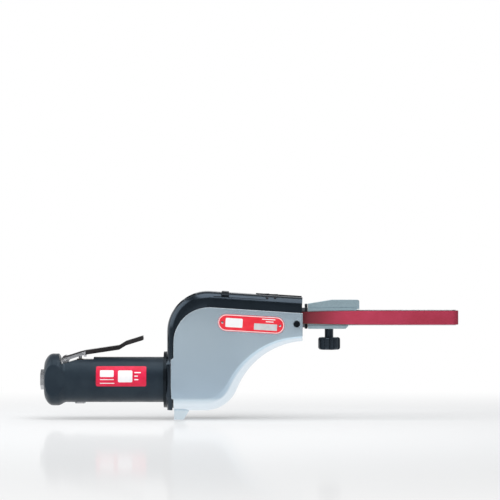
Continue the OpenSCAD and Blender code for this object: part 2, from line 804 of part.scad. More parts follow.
// Head shell: a flat face with a filleted rim along its lower edge, drawn in X, Z and depth.
// The path holds each point of the lower edge with its inward direction and its fillet; the strip is
// the rim's section there
function hollow_turn(s) = 180 + boot_turn + (hollow_end - 180 - boot_turn) * s;
function rim_path(rear) = concat([[[rear, boot_low], [0, 1], rim_fillet]],
  [for (i = [0:boot_steps]) let (a = -90 + (90 + boot_turn) * i / boot_steps, v = [cos(a), sin(a)])
    [boot_c + boot_r * v, -v, rim_fillet]],
  [for (i = [1:boot_steps]) let (s = i / boot_steps, v = [cos(hollow_turn(s)), sin(hollow_turn(s))])
    [hollow_c + hollow_r * v, v, rim_fillet + (rim_front - rim_fillet) * s]]);
function rim_strip(face, t, fillet) = let (c = [fillet, face - fillet])
  concat(arc(c, fillet, 90, 180, fillet_steps), [[0, rim_part], [t, rim_part]],
    arc(c, fillet - t, 180, 90, fillet_steps));
// Upper and rear edge of the face, from its front end round to the start of the rim
face_edge = concat(
  [[head_front, hollow_z + (hollow_r + rim_front) * sin(hollow_end)], [head_front, cover_top_front]],
  arc([cover_corner_x, cover_corner_z], cover_corner_r, 90 - cover_slope, 180),
  [[cover_rear, cover_ledge_z], [cover_rear - cover_ledge, cover_ledge_z - cover_ledge_fall],
    [cover_rear - cover_ledge, cover_tail_z], [cover_rear - cover_tail_in, boot_low + rim_fillet]]);
module head_shell(face, t) {
  path = rim_path(cover_rear);
  n = len(path);
  m = 2 * fillet_steps + 4;
  e = len(face_edge);
  hub = n * m + 2 * e;
  points = concat(
    [for (p = path) for (s = rim_strip(face, t, p[2])) [each (p[0] + p[1] * s[0]), s[1]]],
    [for (q = face_edge) [q[0], q[1], face]], [for (q = face_edge) [q[0], q[1], face - t]],
    [[idler_x, idler_z, face], [idler_x, idler_z, face - t]]);
  front = concat([for (j = [0:n - 1]) j * m], [for (i = [0:e - 1]) n * m + i]);
  back = concat([for (j = [0:n - 1]) j * m + m - 1], [for (i = [0:e - 1]) n * m + e + i]);
  faces = [for (i = [0:n + e - 1]) let (j = (i + 1) % (n + e))
    each [[hub, front[j], front[i]], [hub + 1, back[i], back[j]]]];
  bands = [for (j = [0:n - 2], k = [0:m - 2]) let (q = j * m + k)
    each [[q, q + m, q + m + 1], [q, q + m + 1, q + 1]]];
  edges = [for (i = [n - 1:n + e - 1]) let (j = (i + 1) % (n + e)) [front[i], front[j], back[j], back[i]]];
  ends = [for (k = [0:m / 2 - 2]) let (q = (n - 1) * m, o = m - 1 - k)
    each [[k, k + 1, o - 1, o], [q + k, q + o, q + o - 1, q + k + 1]]];
  polyhedron(points, concat(faces, bands, edges, ends));
}
module rear_boss() intersection() {
  union() {
    rod_x(collar_front, boss_front, boss_r);
    rod_x(boss_front - over, hub_front, hub_r);
  }
  block([0, -head_half, -boss_r - over], [hub_front + over, head_half, boss_r + over]);
}
module hood_pad() rotate([90, 0, 0])
  run([pad_rear, hood_top(pad_rear)], -hood_slope, (pad_front - pad_rear) / cos(hood_slope))
    polygon([[-lap, -pad_half], [pad_proud, pad_bevel - pad_half], [pad_proud, pad_half - pad_bevel],
      [-lap, pad_half]]);
module housing_cuts() {
  rod_x(grip_front, housing_front, housing_r);
  rod_x(grip_front, hub_front + over, hub_bore_r);
  rod_x(boss_front - pass, hub_front + over, hub_bearing_r);
  screw_ring() rod_x(grip_front, hub_front, housing_screw_r);
  translate([pivot_x, 0, pivot_z]) rod_y(-head_half - over, 0, pivot_r);
  at_shell_screws() rod_y(0, head_half + over, shell_screw_r);
  for (x = guide_screw_xs) translate([x, 0, 0]) {
    rod_z(arm_z, hood_top(x) + over, guide_screw_r);
    rod_z(hood_top(x) + pass, hood_top(x) + pad_proud + over, guide_screw_head_r + pass);
  }
  button_block(button_fit, arm_z);
  rotate([90, 0, 0]) for (m = [0, 1], i = [0:vents - 1]) mirror([0, 0, m])
    swept([hood_x, hood_z], vent_from + i * vent_pitch, vent_sweep)
      translate([hood_r - vent_depth, vent_in]) square([vent_depth + over, vent_out - vent_in]);
}
module belt_housing() color("#1d1e20") difference() {
  union() {
    hood();
    hood_pad();
    rear_boss();
    side(head_half - wall, head_half)
      translate([head_front - tab_rear, pivot_z - tab_low]) square([tab_rear - lap, tab_low + tab_high]);
  }
  housing_cuts();
  block([cover_rear - over, -head_half - over, boot_low - over],
    [head_front, head_half + over, boot_low + rim_fillet + over]);
}
module at_shell_screws() for (p = shell_screws) translate([drive_x + p[0], 0, p[1]]) children();
module rear_shell() color("#1d1e20") difference() {
  union() {
    rotate([90, 0, 0]) mirror([0, 0, 1]) head_shell(head_half + wall, wall);
    translate([idler_x, 0, idler_z]) rod_y(idler_out + idler_end_gap, head_half + wall / 2, idler_boss_r);
  }
  translate([idler_x, 0, idler_z]) rod_y(0, head_half + wall + over, idler_shaft_r);
  at_shell_screws() rod_y(0, head_half + wall + over, shell_screw_r);
}
module rear_shell_screws() color("#3a3b3e") at_shell_screws() difference() {
  union() {
    rod_y(head_half - wall, head_half + wall + shell_screw_head / 2, shell_screw_r);
    rod_y(head_half + wall, head_half + wall + shell_screw_head, shell_screw_head_r);
  }
  block([-shell_screw_head_r, head_half + wall + shell_screw_head / 2, -shell_screw_slot_w / 2],
    [shell_screw_head_r, head_half + wall + shell_screw_head + over, shell_screw_slot_w / 2]);
}
module drive_bearing() color("#c9ccd0")
  bearing(boss_front - pass, hub_front, hub_bearing_r, shaft_r + slip);

// Drive wheel on the rotor shaft
module drive_wheel() color("#8d9094") difference() {
  rod_x(drive_x - wheel_half, drive_x + wheel_half, wheel_r - tyre_t);
  rod_x(drive_x - wheel_half - over, drive_x + wheel_half + over, shaft_r);
}
module drive_wheel_tyre() color("#1e1e20") difference() {
  rod_x(drive_x - wheel_half, drive_x + wheel_half, wheel_r);
  rod_x(drive_x - wheel_half - over, drive_x + wheel_half + over, wheel_r - tyre_t);
}
module drive_wheel_screw() color("#3a3b3e") {
  rod_x(drive_x + wheel_half - wheel_screw_len, drive_x + wheel_half, wheel_screw_r);
  rod_x(drive_x + wheel_half, drive_x + wheel_half + wheel_screw_head, wheel_screw_head_r);
}

// Idlers on one shaft across the head
module at_idlers() translate([idler_x, 0, idler_z]) children();
module idler_shaft() color("#9a9da1") at_idlers() difference() {
  rod_y(-idler_out - clip_t - over, head_half + wall, idler_shaft_r);
  difference() {
    rod_y(-idler_out - idler_end_gap - clip_t, -idler_out - idler_end_gap, idler_shaft_r + over);
    rod_y(-head_half, head_half, idler_shaft_r - clip_groove);
  }
}
module idler_spacer() color("#8d9094") at_idlers() difference() {
  rod_y(idler_end_gap - idler_in, idler_in - idler_end_gap, spacer_r);
  rod_y(-head_half, head_half, idler_shaft_r);
}
module idler_clip() color("#3a3b3e") at_idlers() difference() {
  rod_y(-idler_out - idler_end_gap - clip_t, -idler_out - idler_end_gap, clip_r);
  rod_y(-head_half, head_half, idler_shaft_r - clip_groove);
}
module idler_ring() at_idlers() difference() {
  rod_y(idler_in, idler_out, idler_r);
  rod_y(0, head_half, idler_bearing_r);
}
module idler_bearing_pair() at_idlers()
  for (from = [idler_in, idler_out - idler_bearing_w]) rotate([0, 0, 90])
    bearing(from, from + idler_bearing_w, idler_bearing_r, idler_shaft_r + slip);
module front_idler() color("#8d9094") mirror([0, 1, 0]) idler_ring();
module front_idler_bearings() color("#c9ccd0") mirror([0, 1, 0]) idler_bearing_pair();
module rear_idler() color("#8d9094") idler_ring();
module rear_idler_bearings() color("#c9ccd0") idler_bearing_pair();

// Belt: each place on the loop is its middle, its outward face and its width, as three vectors
function at_drive(a) =
  [[drive_x, drive_pitch * cos(a), drive_pitch * sin(a)], [0, cos(a), sin(a)], [1, 0, 0]];
function ease(s) = s * s * (3 - 2 * s);
function at_rise(s, y) = let (a = 90 * ease(s))
  [[drive_x, y * drive_pitch, idler_z * s], [-sin(a), y * cos(a), 0], [cos(a), y * sin(a), 0]];
function at_idler(a, y) =
  [[idler_x + idler_pitch * cos(a), y * drive_pitch, idler_z + idler_pitch * sin(a)],
    [cos(a), 0, sin(a)], [0, y, 0]];
function at_run(s, y) = let (a = 90 * (1 - pow(1 - s, twist_power)))
  [[idler_x + run_x * s, y * (drive_pitch - run_in * s), arm_z], [0, y * sin(a), cos(a)],
    [0, y * cos(a), -sin(a)]];
function at_tip(a) =
  [[tip_x + tip_pitch * cos(a), tip_pitch * sin(a), arm_z], [cos(a), sin(a), 0], [0, 0, -1]];
function half_loop(y) = concat(
  [for (i = [1:rise_steps]) at_rise(i / rise_steps, y)],
  [for (i = [1:idler_steps]) at_idler(180 - 90 * i / idler_steps, y)],
  [for (i = [1:run_steps]) at_run(i / run_steps, y)]);
belt_places = concat(
  [for (i = [0:wheel_steps]) at_drive(180 + 180 * i / wheel_steps)], half_loop(1),
  [for (i = [1:tip_steps - 1]) at_tip(90 - 180 * i / tip_steps)], turned(half_loop(-1)));
function belt_ring(p) = let (out = p[1] * belt_t / 2, edge = p[2] * belt_w / 2)
  [p[0] + out + edge, p[0] + out - edge, p[0] - out - edge, p[0] - out + edge];
module abrasive_belt() {
  n = len(belt_places);
  color("#7d3a3a") polyhedron([for (p = belt_places) each belt_ring(p)],
    [for (i = [0:n - 1], k = [0:3]) let (j = (i + 1) % n, m = (k + 1) % 4)
      each [[4 * i + k, 4 * j + k, 4 * i + m], [4 * i + m, 4 * j + k, 4 * j + m]]]);
}

// Cover: one pressing with a flat face, a filleted lower rim and a finger foot, hinged at its front
module cover_foot() side(foot_from, foot_to) polygon([[cover_rear + pass, boot_low + cover_t / 2],
  [cover_rear + pass, boot_low - foot_low], [cover_rear + foot_len, boot_low - foot_low],
  [cover_rear + foot_reach, boot_low + cover_t / 2]]);
module belt_cover() color("#c3c8cd") difference() {
  union() {
    rotate([90, 0, 0]) head_shell(cover_front, cover_t);
    cover_foot();
  }
  translate([pivot_x, 0, pivot_z]) rod_y(-cover_front - over, 0, pivot_r + slip);
}
module cover_pivot_screw() color("#1d1e20") translate([pivot_x, 0, pivot_z]) difference() {
  union() {
    rod_y(-cover_front - pass, wall - head_half, pivot_r);
    rod_y(-cover_front - pass - pivot_head, -cover_front - pass, pivot_head_r);
  }
  block([-pivot_head_r, -cover_front - pass - pivot_head - over, -pivot_slot_w / 2],
    [pivot_head_r, -cover_front - pass - pivot_head + pivot_slot_depth, pivot_slot_w / 2]);
}
module at_plate() translate([plate_x, 0, plate_z]) rotate([0, plate_tilt, 0]) children();
module plate_rivet_places() for (s = [-1, 1])
  translate([s * (plate_len / 2 - plate_rivet_in), 0, 0]) children();
module nameplate() color("#b5202e") at_plate() difference() {
  reach = (plate_len - plate_h) / 2;
  side(cover_front, cover_front + plate_t)
    polygon(concat(arc([reach, 0], plate_h / 2, -90, 90), arc([-reach, 0], plate_h / 2, 90, 270)));
  plate_rivet_places() rod_y(-cover_front - plate_t - over, 0, plate_rivet_r);
}
module nameplate_rivets() color("#c9ccd0") at_plate() plate_rivet_places()
  rod_y(-cover_front - plate_t - plate_rivet_proud, -cover_front, plate_rivet_r);

// Arm guide, hung from the hood's top by two screws, and the lock button beside it
module arm_guide() color("#8d9094") difference() {
  union() {
    block([guide_rear, -guide_half, arm_z - bar_half - guide_cap], [guide_front, guide_half, guide_high]);
    side(-stand_half, stand_half) polygon([[stand_rear, guide_high - guide_cap / 2],
      [guide_front, guide_high - guide_cap / 2], [guide_front, hood_under(guide_front)],
      [stand_rear, hood_under(stand_rear)]]);
    block([guide_rear, -shelf_half, guide_high - guide_cap / 2],
      [stand_rear + over, shelf_half, shelf_high]);
    block([shelf_rear, -shelf_half, shelf_low], [guide_rear + over, shelf_half, shelf_high]);
  }
  block([guide_rear + guide_back_wall, -bar_t / 2 - bar_fit, arm_z - bar_half - bar_fit],
    [guide_front + over, bar_t / 2 + bar_fit, arm_z + bar_half + bar_fit]);
  block([guide_rear - over, -bar_t / 2 - bar_fit, arm_z + bar_half - strip_h - bar_fit],
    [guide_front, bar_t / 2 + bar_fit, arm_z + bar_half + bar_fit]);
  translate([button_x, 0, 0]) rod_z(arm_z, hood_z + hood_r, button_stem_r + button_fit);
  for (x = guide_screw_xs) translate([x, 0, 0])
    rod_z(hood_top(x) - guide_screw_len, hood_top(x) + over, guide_screw_r);
}
module guide_screw() difference() {
  union() {
    rod_z(-guide_screw_len, guide_screw_head, guide_screw_r);
    rod_z(pass, guide_screw_head, guide_screw_head_r);
  }
  block([-guide_screw_head_r, -guide_screw_slot_w / 2, guide_screw_head - guide_screw_slot_depth],
    [guide_screw_head_r, guide_screw_slot_w / 2, guide_screw_head + over]);
}
module arm_guide_screws() color("#3a3b3e")
  for (x = guide_screw_xs) translate([x, 0, hood_top(x)]) guide_screw();
module button_block(gap, low) translate([button_x, 0, 0])
  block([-button_len / 2 - gap, -button_out - gap, low],
    [button_len / 2 + gap, button_back + gap, hood_z + hood_r + over]);
// The button's cap follows the hood from its top over the shoulder above the cover
module button_cap() intersection() {
  button_block(0, button_flange_top - button_flange);
  rotate([90, 0, 0]) run(hood_start, -hood_slope, hood_run) polygon(concat(
    [[-hood_skirt, -head_half], [button_proud, -head_half]],
    arc([-hood_fillet, head_half - hood_fillet], hood_fillet + button_proud, 0, 90),
    [[-hood_skirt, head_half + button_proud]]));
}
module lock_button() color("#2b2c2f") {
  translate([button_x, 0, 0]) {
    rod_z(shelf_low, button_flange_top, button_stem_r);
    rod_z(button_flange_top - button_flange, button_flange_top, button_flange_r);
  }
  button_cap();
}
button_spring_len = button_flange_top - button_flange - spring_gap - shelf_high;
module lock_button_spring() color("#9a9da1") translate([button_x, 0, shelf_high])
  coil_spring(button_spring_r, button_wire_r, button_spring_len, button_spring_turns);

// Tension bar and its spring
tension_spring_from = guide_rear + guide_back_wall;
tension_spring_len = bar_rear - tension_spring_from - spring_gap;
module tension_spring() color("#9a9da1")
  translate([tension_spring_from, 0, tension_spring_z]) rotate([0, 90, 0])
    coil_spring(tension_spring_r, tension_wire_r, tension_spring_len, tension_spring_turns);
module tension_bar() color("#6d7074") difference() {
  union() {
    side(-bar_t / 2, bar_t / 2) polygon([[hook_rear, arm_z + bar_half - strip_h],
      [bar_rear, arm_z + bar_half - strip_h], [bar_rear, arm_z - bar_half], [bar_front, arm_z - bar_half],
      [bar_front, arm_z + bar_half], [hook_rear + hook_len, arm_z + bar_half],
      [hook_rear + hook_len, hook_high], [hook_rear, hook_high]]);
    block([bar_front - over, -tongue_t / 2, arm_z - tongue_half_h],
      [bar_front + tongue_len, tongue_t / 2, arm_z + tongue_half_h]);
  }
  translate([arm_pin_x, 0, arm_z]) rod_y(-bar_t, bar_t, arm_pin_r);
}
module bumper() color("#1e1e20") translate([bar_front - bumper_back, 0, arm_z]) rotate([90, 0, 90])
  linear_extrude(bumper_len) difference() {
    r = bumper_round;
    h = bumper_half - r;
    polygon(concat(arc([h, bumper_high - r], r, 0, 90), arc([-h, bumper_high - r], r, 90, 180),
      arc([-h, r - bumper_low], r, 180, 270), arc([h, r - bumper_low], r, 270, 360)));
    square([bar_t, bar_h], center = true);
  }
module arm_pivot_pin() color("#c9ccd0") translate([arm_pin_x, 0, arm_z])
  rod_y(-holder_half, holder_half, arm_pin_r);

// Arm holder and contact arm
module holder_top() polygon(concat([[holder_rear, flange_up_low],
  [holder_rear, flange_up_high - flange_up_drop], [holder_rear + flange_up_ramp, flange_up_high]],
  arc([holder_front - flange_up_round, flange_up_high - flange_up_round], flange_up_round, 90, 0),
  [[holder_front, flange_up_low]]));
module holder_foot() polygon([[holder_rear, -holder_low],
  [holder_rear + flange_low_len - flange_bevel, -holder_low],
  [holder_rear + flange_low_len, flange_bevel - holder_low],
  [holder_rear + flange_low_len, flange_low_t - holder_low], [holder_rear, flange_low_t - holder_low]]);
module arm_holder() color("#9ba1a7") translate([0, 0, arm_z]) difference() {
  union() {
    side(-holder_half, holder_half) polygon([[holder_rear, -holder_low + over],
      [arm_joint_x, -holder_low + over], [arm_joint_x, -arm_half_h], [arm_root_x, -arm_half_h],
      [arm_root_x, flange_up_low + over], [holder_rear, flange_up_low + over]]);
    side(-flange_half, flange_half) holder_top();
    side(-flange_half, flange_half) holder_foot();
  }
  block([holder_rear - over, -tongue_t / 2 - tongue_side_gap, -tongue_half_h - over],
    [bar_front + tongue_len + tongue_end_gap, tongue_t / 2 + tongue_side_gap,
      tongue_half_h + tongue_up_gap]);
  block([arm_joint_x, -arm_tongue_t / 2, -arm_half_h - over],
    [arm_root_x + over, arm_tongue_t / 2, arm_half_h + arm_fit]);
  translate([arm_pin_x, 0, 0]) rod_y(-holder_t, holder_t, arm_pin_r + slip);
  translate([knob_x, 0, 0]) rod_z(-holder_low - over, 0, stud_r + slip);
  for (x = arm_screw_xs) translate([x, 0, 0]) rod_y(-holder_t, holder_t, arm_screw_r);
  for (m = [0, 1]) mirror([0, m, 0])
    block([holder_rear - over, flange_half - flange_groove, flange_groove_in],
      [holder_front - flange_up_round, flange_half + over, flange_groove_in + flange_groove]);
}
module arm_screws() color("#3a3b3e") for (x = arm_screw_xs) translate([x, 0, arm_z]) difference() {
  rod_y(-holder_half, holder_half, arm_screw_r);
  translate([0, arm_screw_hex_depth - holder_half, 0]) rotate([90, 0, 0])
    cylinder(r = arm_screw_hex_r, h = holder_half, $fn = 6);
}
module fork_cheek() linear_extrude(arm_half_h - tip_half - fork_gap) difference() {
  polygon(concat([[tip_x - fork_in - over, -arm_half_t]], arc([tip_x, 0], arm_half_t, -90, 90),
    [[tip_x - fork_in - over, arm_half_t]]));
  translate([tip_x, 0]) circle(tip_axle_r);
}
module contact_arm() color("#8d9094") translate([0, 0, arm_z]) difference() {
  union() {
    block([arm_joint_x + arm_fit, -arm_tongue_t / 2, -arm_half_h],
      [arm_root_x + over, arm_tongue_t / 2, arm_half_h]);
    block([arm_root_x + arm_fit, -arm_half_t, -arm_half_h], [tip_x - fork_in, arm_half_t, arm_half_h]);
    translate([0, 0, tip_half + fork_gap]) fork_cheek();
    mirror([0, 0, 1]) translate([0, 0, tip_half + fork_gap]) fork_cheek();
  }
  block([arm_root_x + platen_in, arm_half_t - pocket_depth, -pocket_half_h],
    [tip_x - fork_in - platen_front_in, arm_half_t + over, pocket_half_h]);
  for (x = arm_screw_xs) translate([x, 0, 0]) rod_y(-holder_t, holder_t, arm_screw_r);
}
module platen() color("#b9bcc0")
  block([arm_root_x + platen_in, -arm_half_t - platen_t, arm_z - platen_half_h],
    [tip_x - platen_front_in, -arm_half_t, arm_z + platen_half_h]);
module tip_axle() color("#c9ccd0") translate([tip_x, 0, arm_z]) rod_z(-arm_half_h, arm_half_h, tip_axle_r);
module tip_wheel() color("#3a3b3e") translate([tip_x, 0, arm_z]) rotate_extrude()
  polygon([[bush_r, -tip_half], [tip_r - tip_crown, -tip_half], [tip_r, 0], [tip_r - tip_crown, tip_half],
    [bush_r, tip_half]]);
module tip_bush() color("#b08d4a") translate([tip_x, 0, arm_z]) difference() {
  rod_z(-tip_half, tip_half, bush_r);
  rod_z(-tip_half - over, tip_half + over, tip_axle_r + slip);
}

// Tracking knob on its screw
knob_high = arm_z - holder_low - knob_gap;
knob_head_high = knob_high - knob_neck;
knob_low = knob_head_high - knob_len;
module tracking_screw() color("#9a9da1") translate([knob_x, 0, 0])
  rod_z(knob_low + stud_sunk, arm_z - tongue_half_h - stud_gap, stud_r);
module tracking_knob() color("#1d1e20") translate([knob_x, 0, 0]) difference() {
  union() {
    rotate_extrude() polygon(concat([[0, knob_low]],
      arc([knob_r - knob_round, knob_low + knob_round], knob_round, -90, 0),
      arc([knob_r - knob_round, knob_head_high - knob_round], knob_round, 0, 90), [[0, knob_head_high]]));
    rod_z(knob_head_high - over, knob_high, knob_neck_r);
  }
  for (i = [0:knob_lobes - 1]) rotate([0, 0, 360 * (i + knob_phase_share) / knob_lobes])
    translate([knob_r + knob_lobe_r * (1 - knob_lobe_in_share), 0, 0])
      rod_z(knob_low - over, knob_head_high + over, knob_lobe_r);
  rod_z(knob_low + stud_sunk, knob_high + over, stud_r);
  rod_z(knob_low - over, knob_low + knob_dish, knob_neck_r);
}

echo(spring_gaps = [
  coil_gap(valve_spring_r, valve_wire_r, valve_spring_len, valve_spring_turns),
  coil_gap(button_spring_r, button_wire_r, button_spring_len, button_spring_turns),
  coil_gap(tension_spring_r, tension_wire_r, tension_spring_len, tension_spring_turns)]);

handle_grip();
motor_housing();
inlet_bushing();
muffler_ring();
valve_seat();
valve_spring();
valve_stem();
valve_seal();
speed_regulator();
lever_pin();
throttle_lever();
lock_off_pin();
lock_off_lever();
motor_cylinder();
rear_end_plate();
front_end_plate();
rear_bearing();
front_bearing();
motor_clamp_nut();
rotor();
rotor_vanes();
handle_collar();
housing_screws();
belt_housing();
rear_shell();
rear_shell_screws();
drive_bearing();
drive_wheel();
drive_wheel_tyre();
drive_wheel_screw();
idler_shaft();
idler_spacer();
idler_clip();
front_idler();
front_idler_bearings();
rear_idler();
rear_idler_bearings();
abrasive_belt();
belt_cover();
cover_pivot_screw();
nameplate();
nameplate_rivets();
arm_guide();
arm_guide_screws();
lock_button();
lock_button_spring();
tension_spring();
tension_bar();
bumper();
arm_pivot_pin();
arm_holder();
arm_screws();
contact_arm();
platen();
tip_axle();
tip_wheel();
tip_bush();
tracking_screw();
tracking_knob();
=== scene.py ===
"""Looks of the air belt file: finishes of the CAD nodes, labels, belt, springs, floor and light."""
import json
import math

import bpy
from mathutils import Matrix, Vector

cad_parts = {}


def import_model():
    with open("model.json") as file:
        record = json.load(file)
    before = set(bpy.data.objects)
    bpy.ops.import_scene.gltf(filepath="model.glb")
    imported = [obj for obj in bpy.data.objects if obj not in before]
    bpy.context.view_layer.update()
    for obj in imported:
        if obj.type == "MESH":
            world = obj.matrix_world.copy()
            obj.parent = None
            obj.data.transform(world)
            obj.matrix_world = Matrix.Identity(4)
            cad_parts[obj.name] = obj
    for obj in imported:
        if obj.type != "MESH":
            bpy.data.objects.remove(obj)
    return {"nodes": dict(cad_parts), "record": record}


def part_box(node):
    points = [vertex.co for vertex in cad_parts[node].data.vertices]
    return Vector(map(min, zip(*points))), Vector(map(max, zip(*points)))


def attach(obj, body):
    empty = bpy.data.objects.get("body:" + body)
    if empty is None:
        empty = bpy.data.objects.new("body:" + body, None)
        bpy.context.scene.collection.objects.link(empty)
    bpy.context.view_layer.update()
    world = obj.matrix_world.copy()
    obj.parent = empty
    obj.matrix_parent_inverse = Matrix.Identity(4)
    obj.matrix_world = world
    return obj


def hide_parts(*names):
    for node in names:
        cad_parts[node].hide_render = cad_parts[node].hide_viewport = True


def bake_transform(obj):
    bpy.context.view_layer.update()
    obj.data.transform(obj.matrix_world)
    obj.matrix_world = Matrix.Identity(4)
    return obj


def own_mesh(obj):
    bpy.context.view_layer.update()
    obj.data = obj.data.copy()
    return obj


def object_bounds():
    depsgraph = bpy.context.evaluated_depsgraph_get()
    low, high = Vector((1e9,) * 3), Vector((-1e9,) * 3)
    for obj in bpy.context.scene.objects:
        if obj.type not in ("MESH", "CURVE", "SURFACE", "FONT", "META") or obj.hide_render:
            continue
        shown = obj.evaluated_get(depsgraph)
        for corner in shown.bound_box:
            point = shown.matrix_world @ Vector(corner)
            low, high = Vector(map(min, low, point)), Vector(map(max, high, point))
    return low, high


MM = 0.001
X, Y, Z = 0, 1, 2

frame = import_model()
nodes = frame["nodes"]
cad_low, cad_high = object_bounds()
scene = bpy.context.scene
scene.view_settings.view_transform = "Standard"


# Node trees
class Tree:
    """Short calls on a node tree."""

    def __init__(self, tree):
        self.tree = tree

    def add(self, kind, **props):
        node = self.tree.nodes.new(kind)
        for key, value in props.items():
            setattr(node, key, value)
        return node

    def link(self, a, b):
        self.tree.links.new(a, b)

    def coordinate(self, kind):
        return self.add("ShaderNodeTexCoord").outputs[kind]

    def split(self, vector, axis):
        node = self.add("ShaderNodeSeparateXYZ")
        self.link(vector, node.inputs["Vector"])
        return node.outputs[axis]

    def ramp(self, value, start, end, low=0.0, high=1.0):
        """A smooth step from low, where the value is at start, to high, where it is at end."""
        node = self.add("ShaderNodeMapRange", interpolation_type="SMOOTHSTEP")
        ends = {"From Min": start, "From Max": end, "To Min": low, "To Max": high}
        for key, number in ends.items():
            node.inputs[key].default_value = number
        self.link(value, node.inputs["Value"])
        return node.outputs["Result"]


NOISE_ROUGHNESS = 0.55


class Shader(Tree):
    """A Principled material with colour, roughness and bump from noise in the row frame."""

    def __init__(self, name, color, rough, metallic=0.0, **sockets):
        self.mat = bpy.data.materials.new(name)
        self.mat.use_nodes = True
        super().__init__(self.mat.node_tree)
        self.bsdf = self.tree.nodes["Principled BSDF"]
        self.place = self.coordinate("Object")
        self.normal = None
        self.set("Base Color", (*color, 1))
        self.set("Roughness", rough)
        self.set("Metallic", metallic)
        for key, value in sockets.items():
            self.set(key.replace("_", " "), value)

    def set(self, socket, value):
        self.bsdf.inputs[socket].default_value = value

    def feed(self, socket, output):
        self.link(output, self.bsdf.inputs[socket])

    def stretched(self, stretch):
        node = self.add("ShaderNodeMapping")
        node.inputs["Scale"].default_value = stretch
        self.link(self.place, node.inputs["Vector"])
        return node.outputs["Vector"]

    def noise(self, scale, detail=3.0, stretch=None):
        node = self.add("ShaderNodeTexNoise")
        node.inputs["Scale"].default_value = scale
        node.inputs["Detail"].default_value = detail
        node.inputs["Roughness"].default_value = NOISE_ROUGHNESS
        self.link(self.stretched(stretch) if stretch else self.place, node.inputs["Vector"])
        return node.outputs["Fac"]

    def cells(self, scale):
        node = self.add("ShaderNodeTexVoronoi", feature="F1")
        node.inputs["Scale"].default_value = scale
        self.link(self.place, node.inputs["Vector"])
        return node.outputs["Distance"]

    def along(self, direction):
        """How far a point lies along a direction."""
        node = self.add("ShaderNodeVectorMath", operation="DOT_PRODUCT")
        self.link(self.place, node.inputs[0])
        node.inputs[1].default_value = direction
        return node.outputs["Value"]

    def facing(self, axis):
        """One part of the surface's own direction in the row frame."""
        return self.split(self.coordinate("Normal"), axis)

    def mix(self, share, a, b):
        """a where share is 0, b where it is 1. Each is a colour or another node's output."""
        node = self.add("ShaderNodeMix", data_type="RGBA")
        self.link(share, node.inputs["Factor"])
        for socket, color in ((node.inputs["A"], a), (node.inputs["B"], b)):
            if isinstance(color, tuple):
                socket.default_value = (*color, 1)
            else:
                self.link(color, socket)
        return node.outputs["Result"]

    def bump(self, height, depth, strength):
        """Adds relief over any that is there already."""
        node = self.add("ShaderNodeBump")
        node.inputs["Strength"].default_value = strength
        node.inputs["Distance"].default_value = depth
        self.link(height, node.inputs["Height"])
        if self.normal:
            self.link(self.normal, node.inputs["Normal"])
        self.normal = node.outputs["Normal"]
        self.link(self.normal, self.bsdf.inputs["Normal"])


# Finishes. A span is the range of noise, place or direction over which one value becomes another.
DRIFT = (0.35, 0.65)
PATCHES = (0.3, 0.7)
COOL = (0.62, 0.82, 1.0, 1)
EVEN = (1, 1, 1)
HEAD_DARK, HEAD_LIGHT = (0.024, 0.036, 0.049), (0.029, 0.042, 0.057)
MATT_BLACK = (0.004, 0.005, 0.007)
PAINT_METALLIC, PAINT_COAT, COAT_ROUGHNESS = 0.75, 0.05, 0.2


def lines(axis, share):
    """The stretch that draws noise out along one axis."""
    return tuple(share if i == axis else 1 for i in range(3))


def tinted(s, a, b, scale, stretch=None):
    """Colour that drifts between two close shades."""
    s.feed("Base Color", s.mix(s.ramp(s.noise(scale, stretch=stretch), *DRIFT), a, b))


def worn(s, low, high, scale, stretch=None, detail=2.0):
    """Roughness that drifts between two values."""
    s.feed("Roughness", s.ramp(s.noise(scale, detail, stretch), *PATCHES, low, high))


def moulded(name, a, b, rough, grain, level=0.5):
    """Plastic, rubber or laminate: a cell grain under a finer one."""
    s = Shader(name, a, rough, Specular_IOR_Level=level, Specular_Tint=COOL)
    tinted(s, a, b, scale=60)
    worn(s, rough - 0.05, rough + 0.07, scale=140)
    s.bump(s.cells(grain), depth=0.00006, strength=0.35)
    s.bump(s.noise(9000, detail=2.0), depth=0.00003, strength=0.3)
    return s.mat


def paint_skin(s):
    """The faint unevenness of sprayed paint."""
    s.bump(s.noise(900, detail=1.0), depth=0.00002, strength=0.05)


def painted(name, a, b, rough):
    """Dark metallic paint."""
    s = Shader(name, a, rough, PAINT_METALLIC,
               Coat_Weight=PAINT_COAT, Coat_Roughness=COAT_ROUGHNESS)
    tinted(s, a, b, scale=45)
    worn(s, rough - 0.02, rough + 0.03, scale=30, detail=0.0)
    paint_skin(s)
    return s.mat


def metal(name, a, b, rough, stretch, scale=900, depth=0.00002):
    """Ground, turned or drawn metal: fine lines along one axis, or an even grain."""
    s = Shader(name, a, rough, 1.0)
    tinted(s, a, b, scale / 3, stretch)
    worn(s, rough - 0.06, rough + 0.08, scale, stretch)
    s.bump(s.noise(scale * 2, stretch=stretch), depth, strength=0.35)
    return s.mat


def enamel(name, a, b):
    """Printed or enamelled colour, half matt."""
    s = Shader(name, a, 0.42, Coat_Weight=0.1, Coat_Roughness=COAT_ROUGHNESS,
               Specular_IOR_Level=0.3)
    tinted(s, a, b, scale=160)
    worn(s, 0.38, 0.48, scale=320)
    s.bump(s.noise(1800, detail=2.0), depth=0.00002, strength=0.2)
    return s.mat


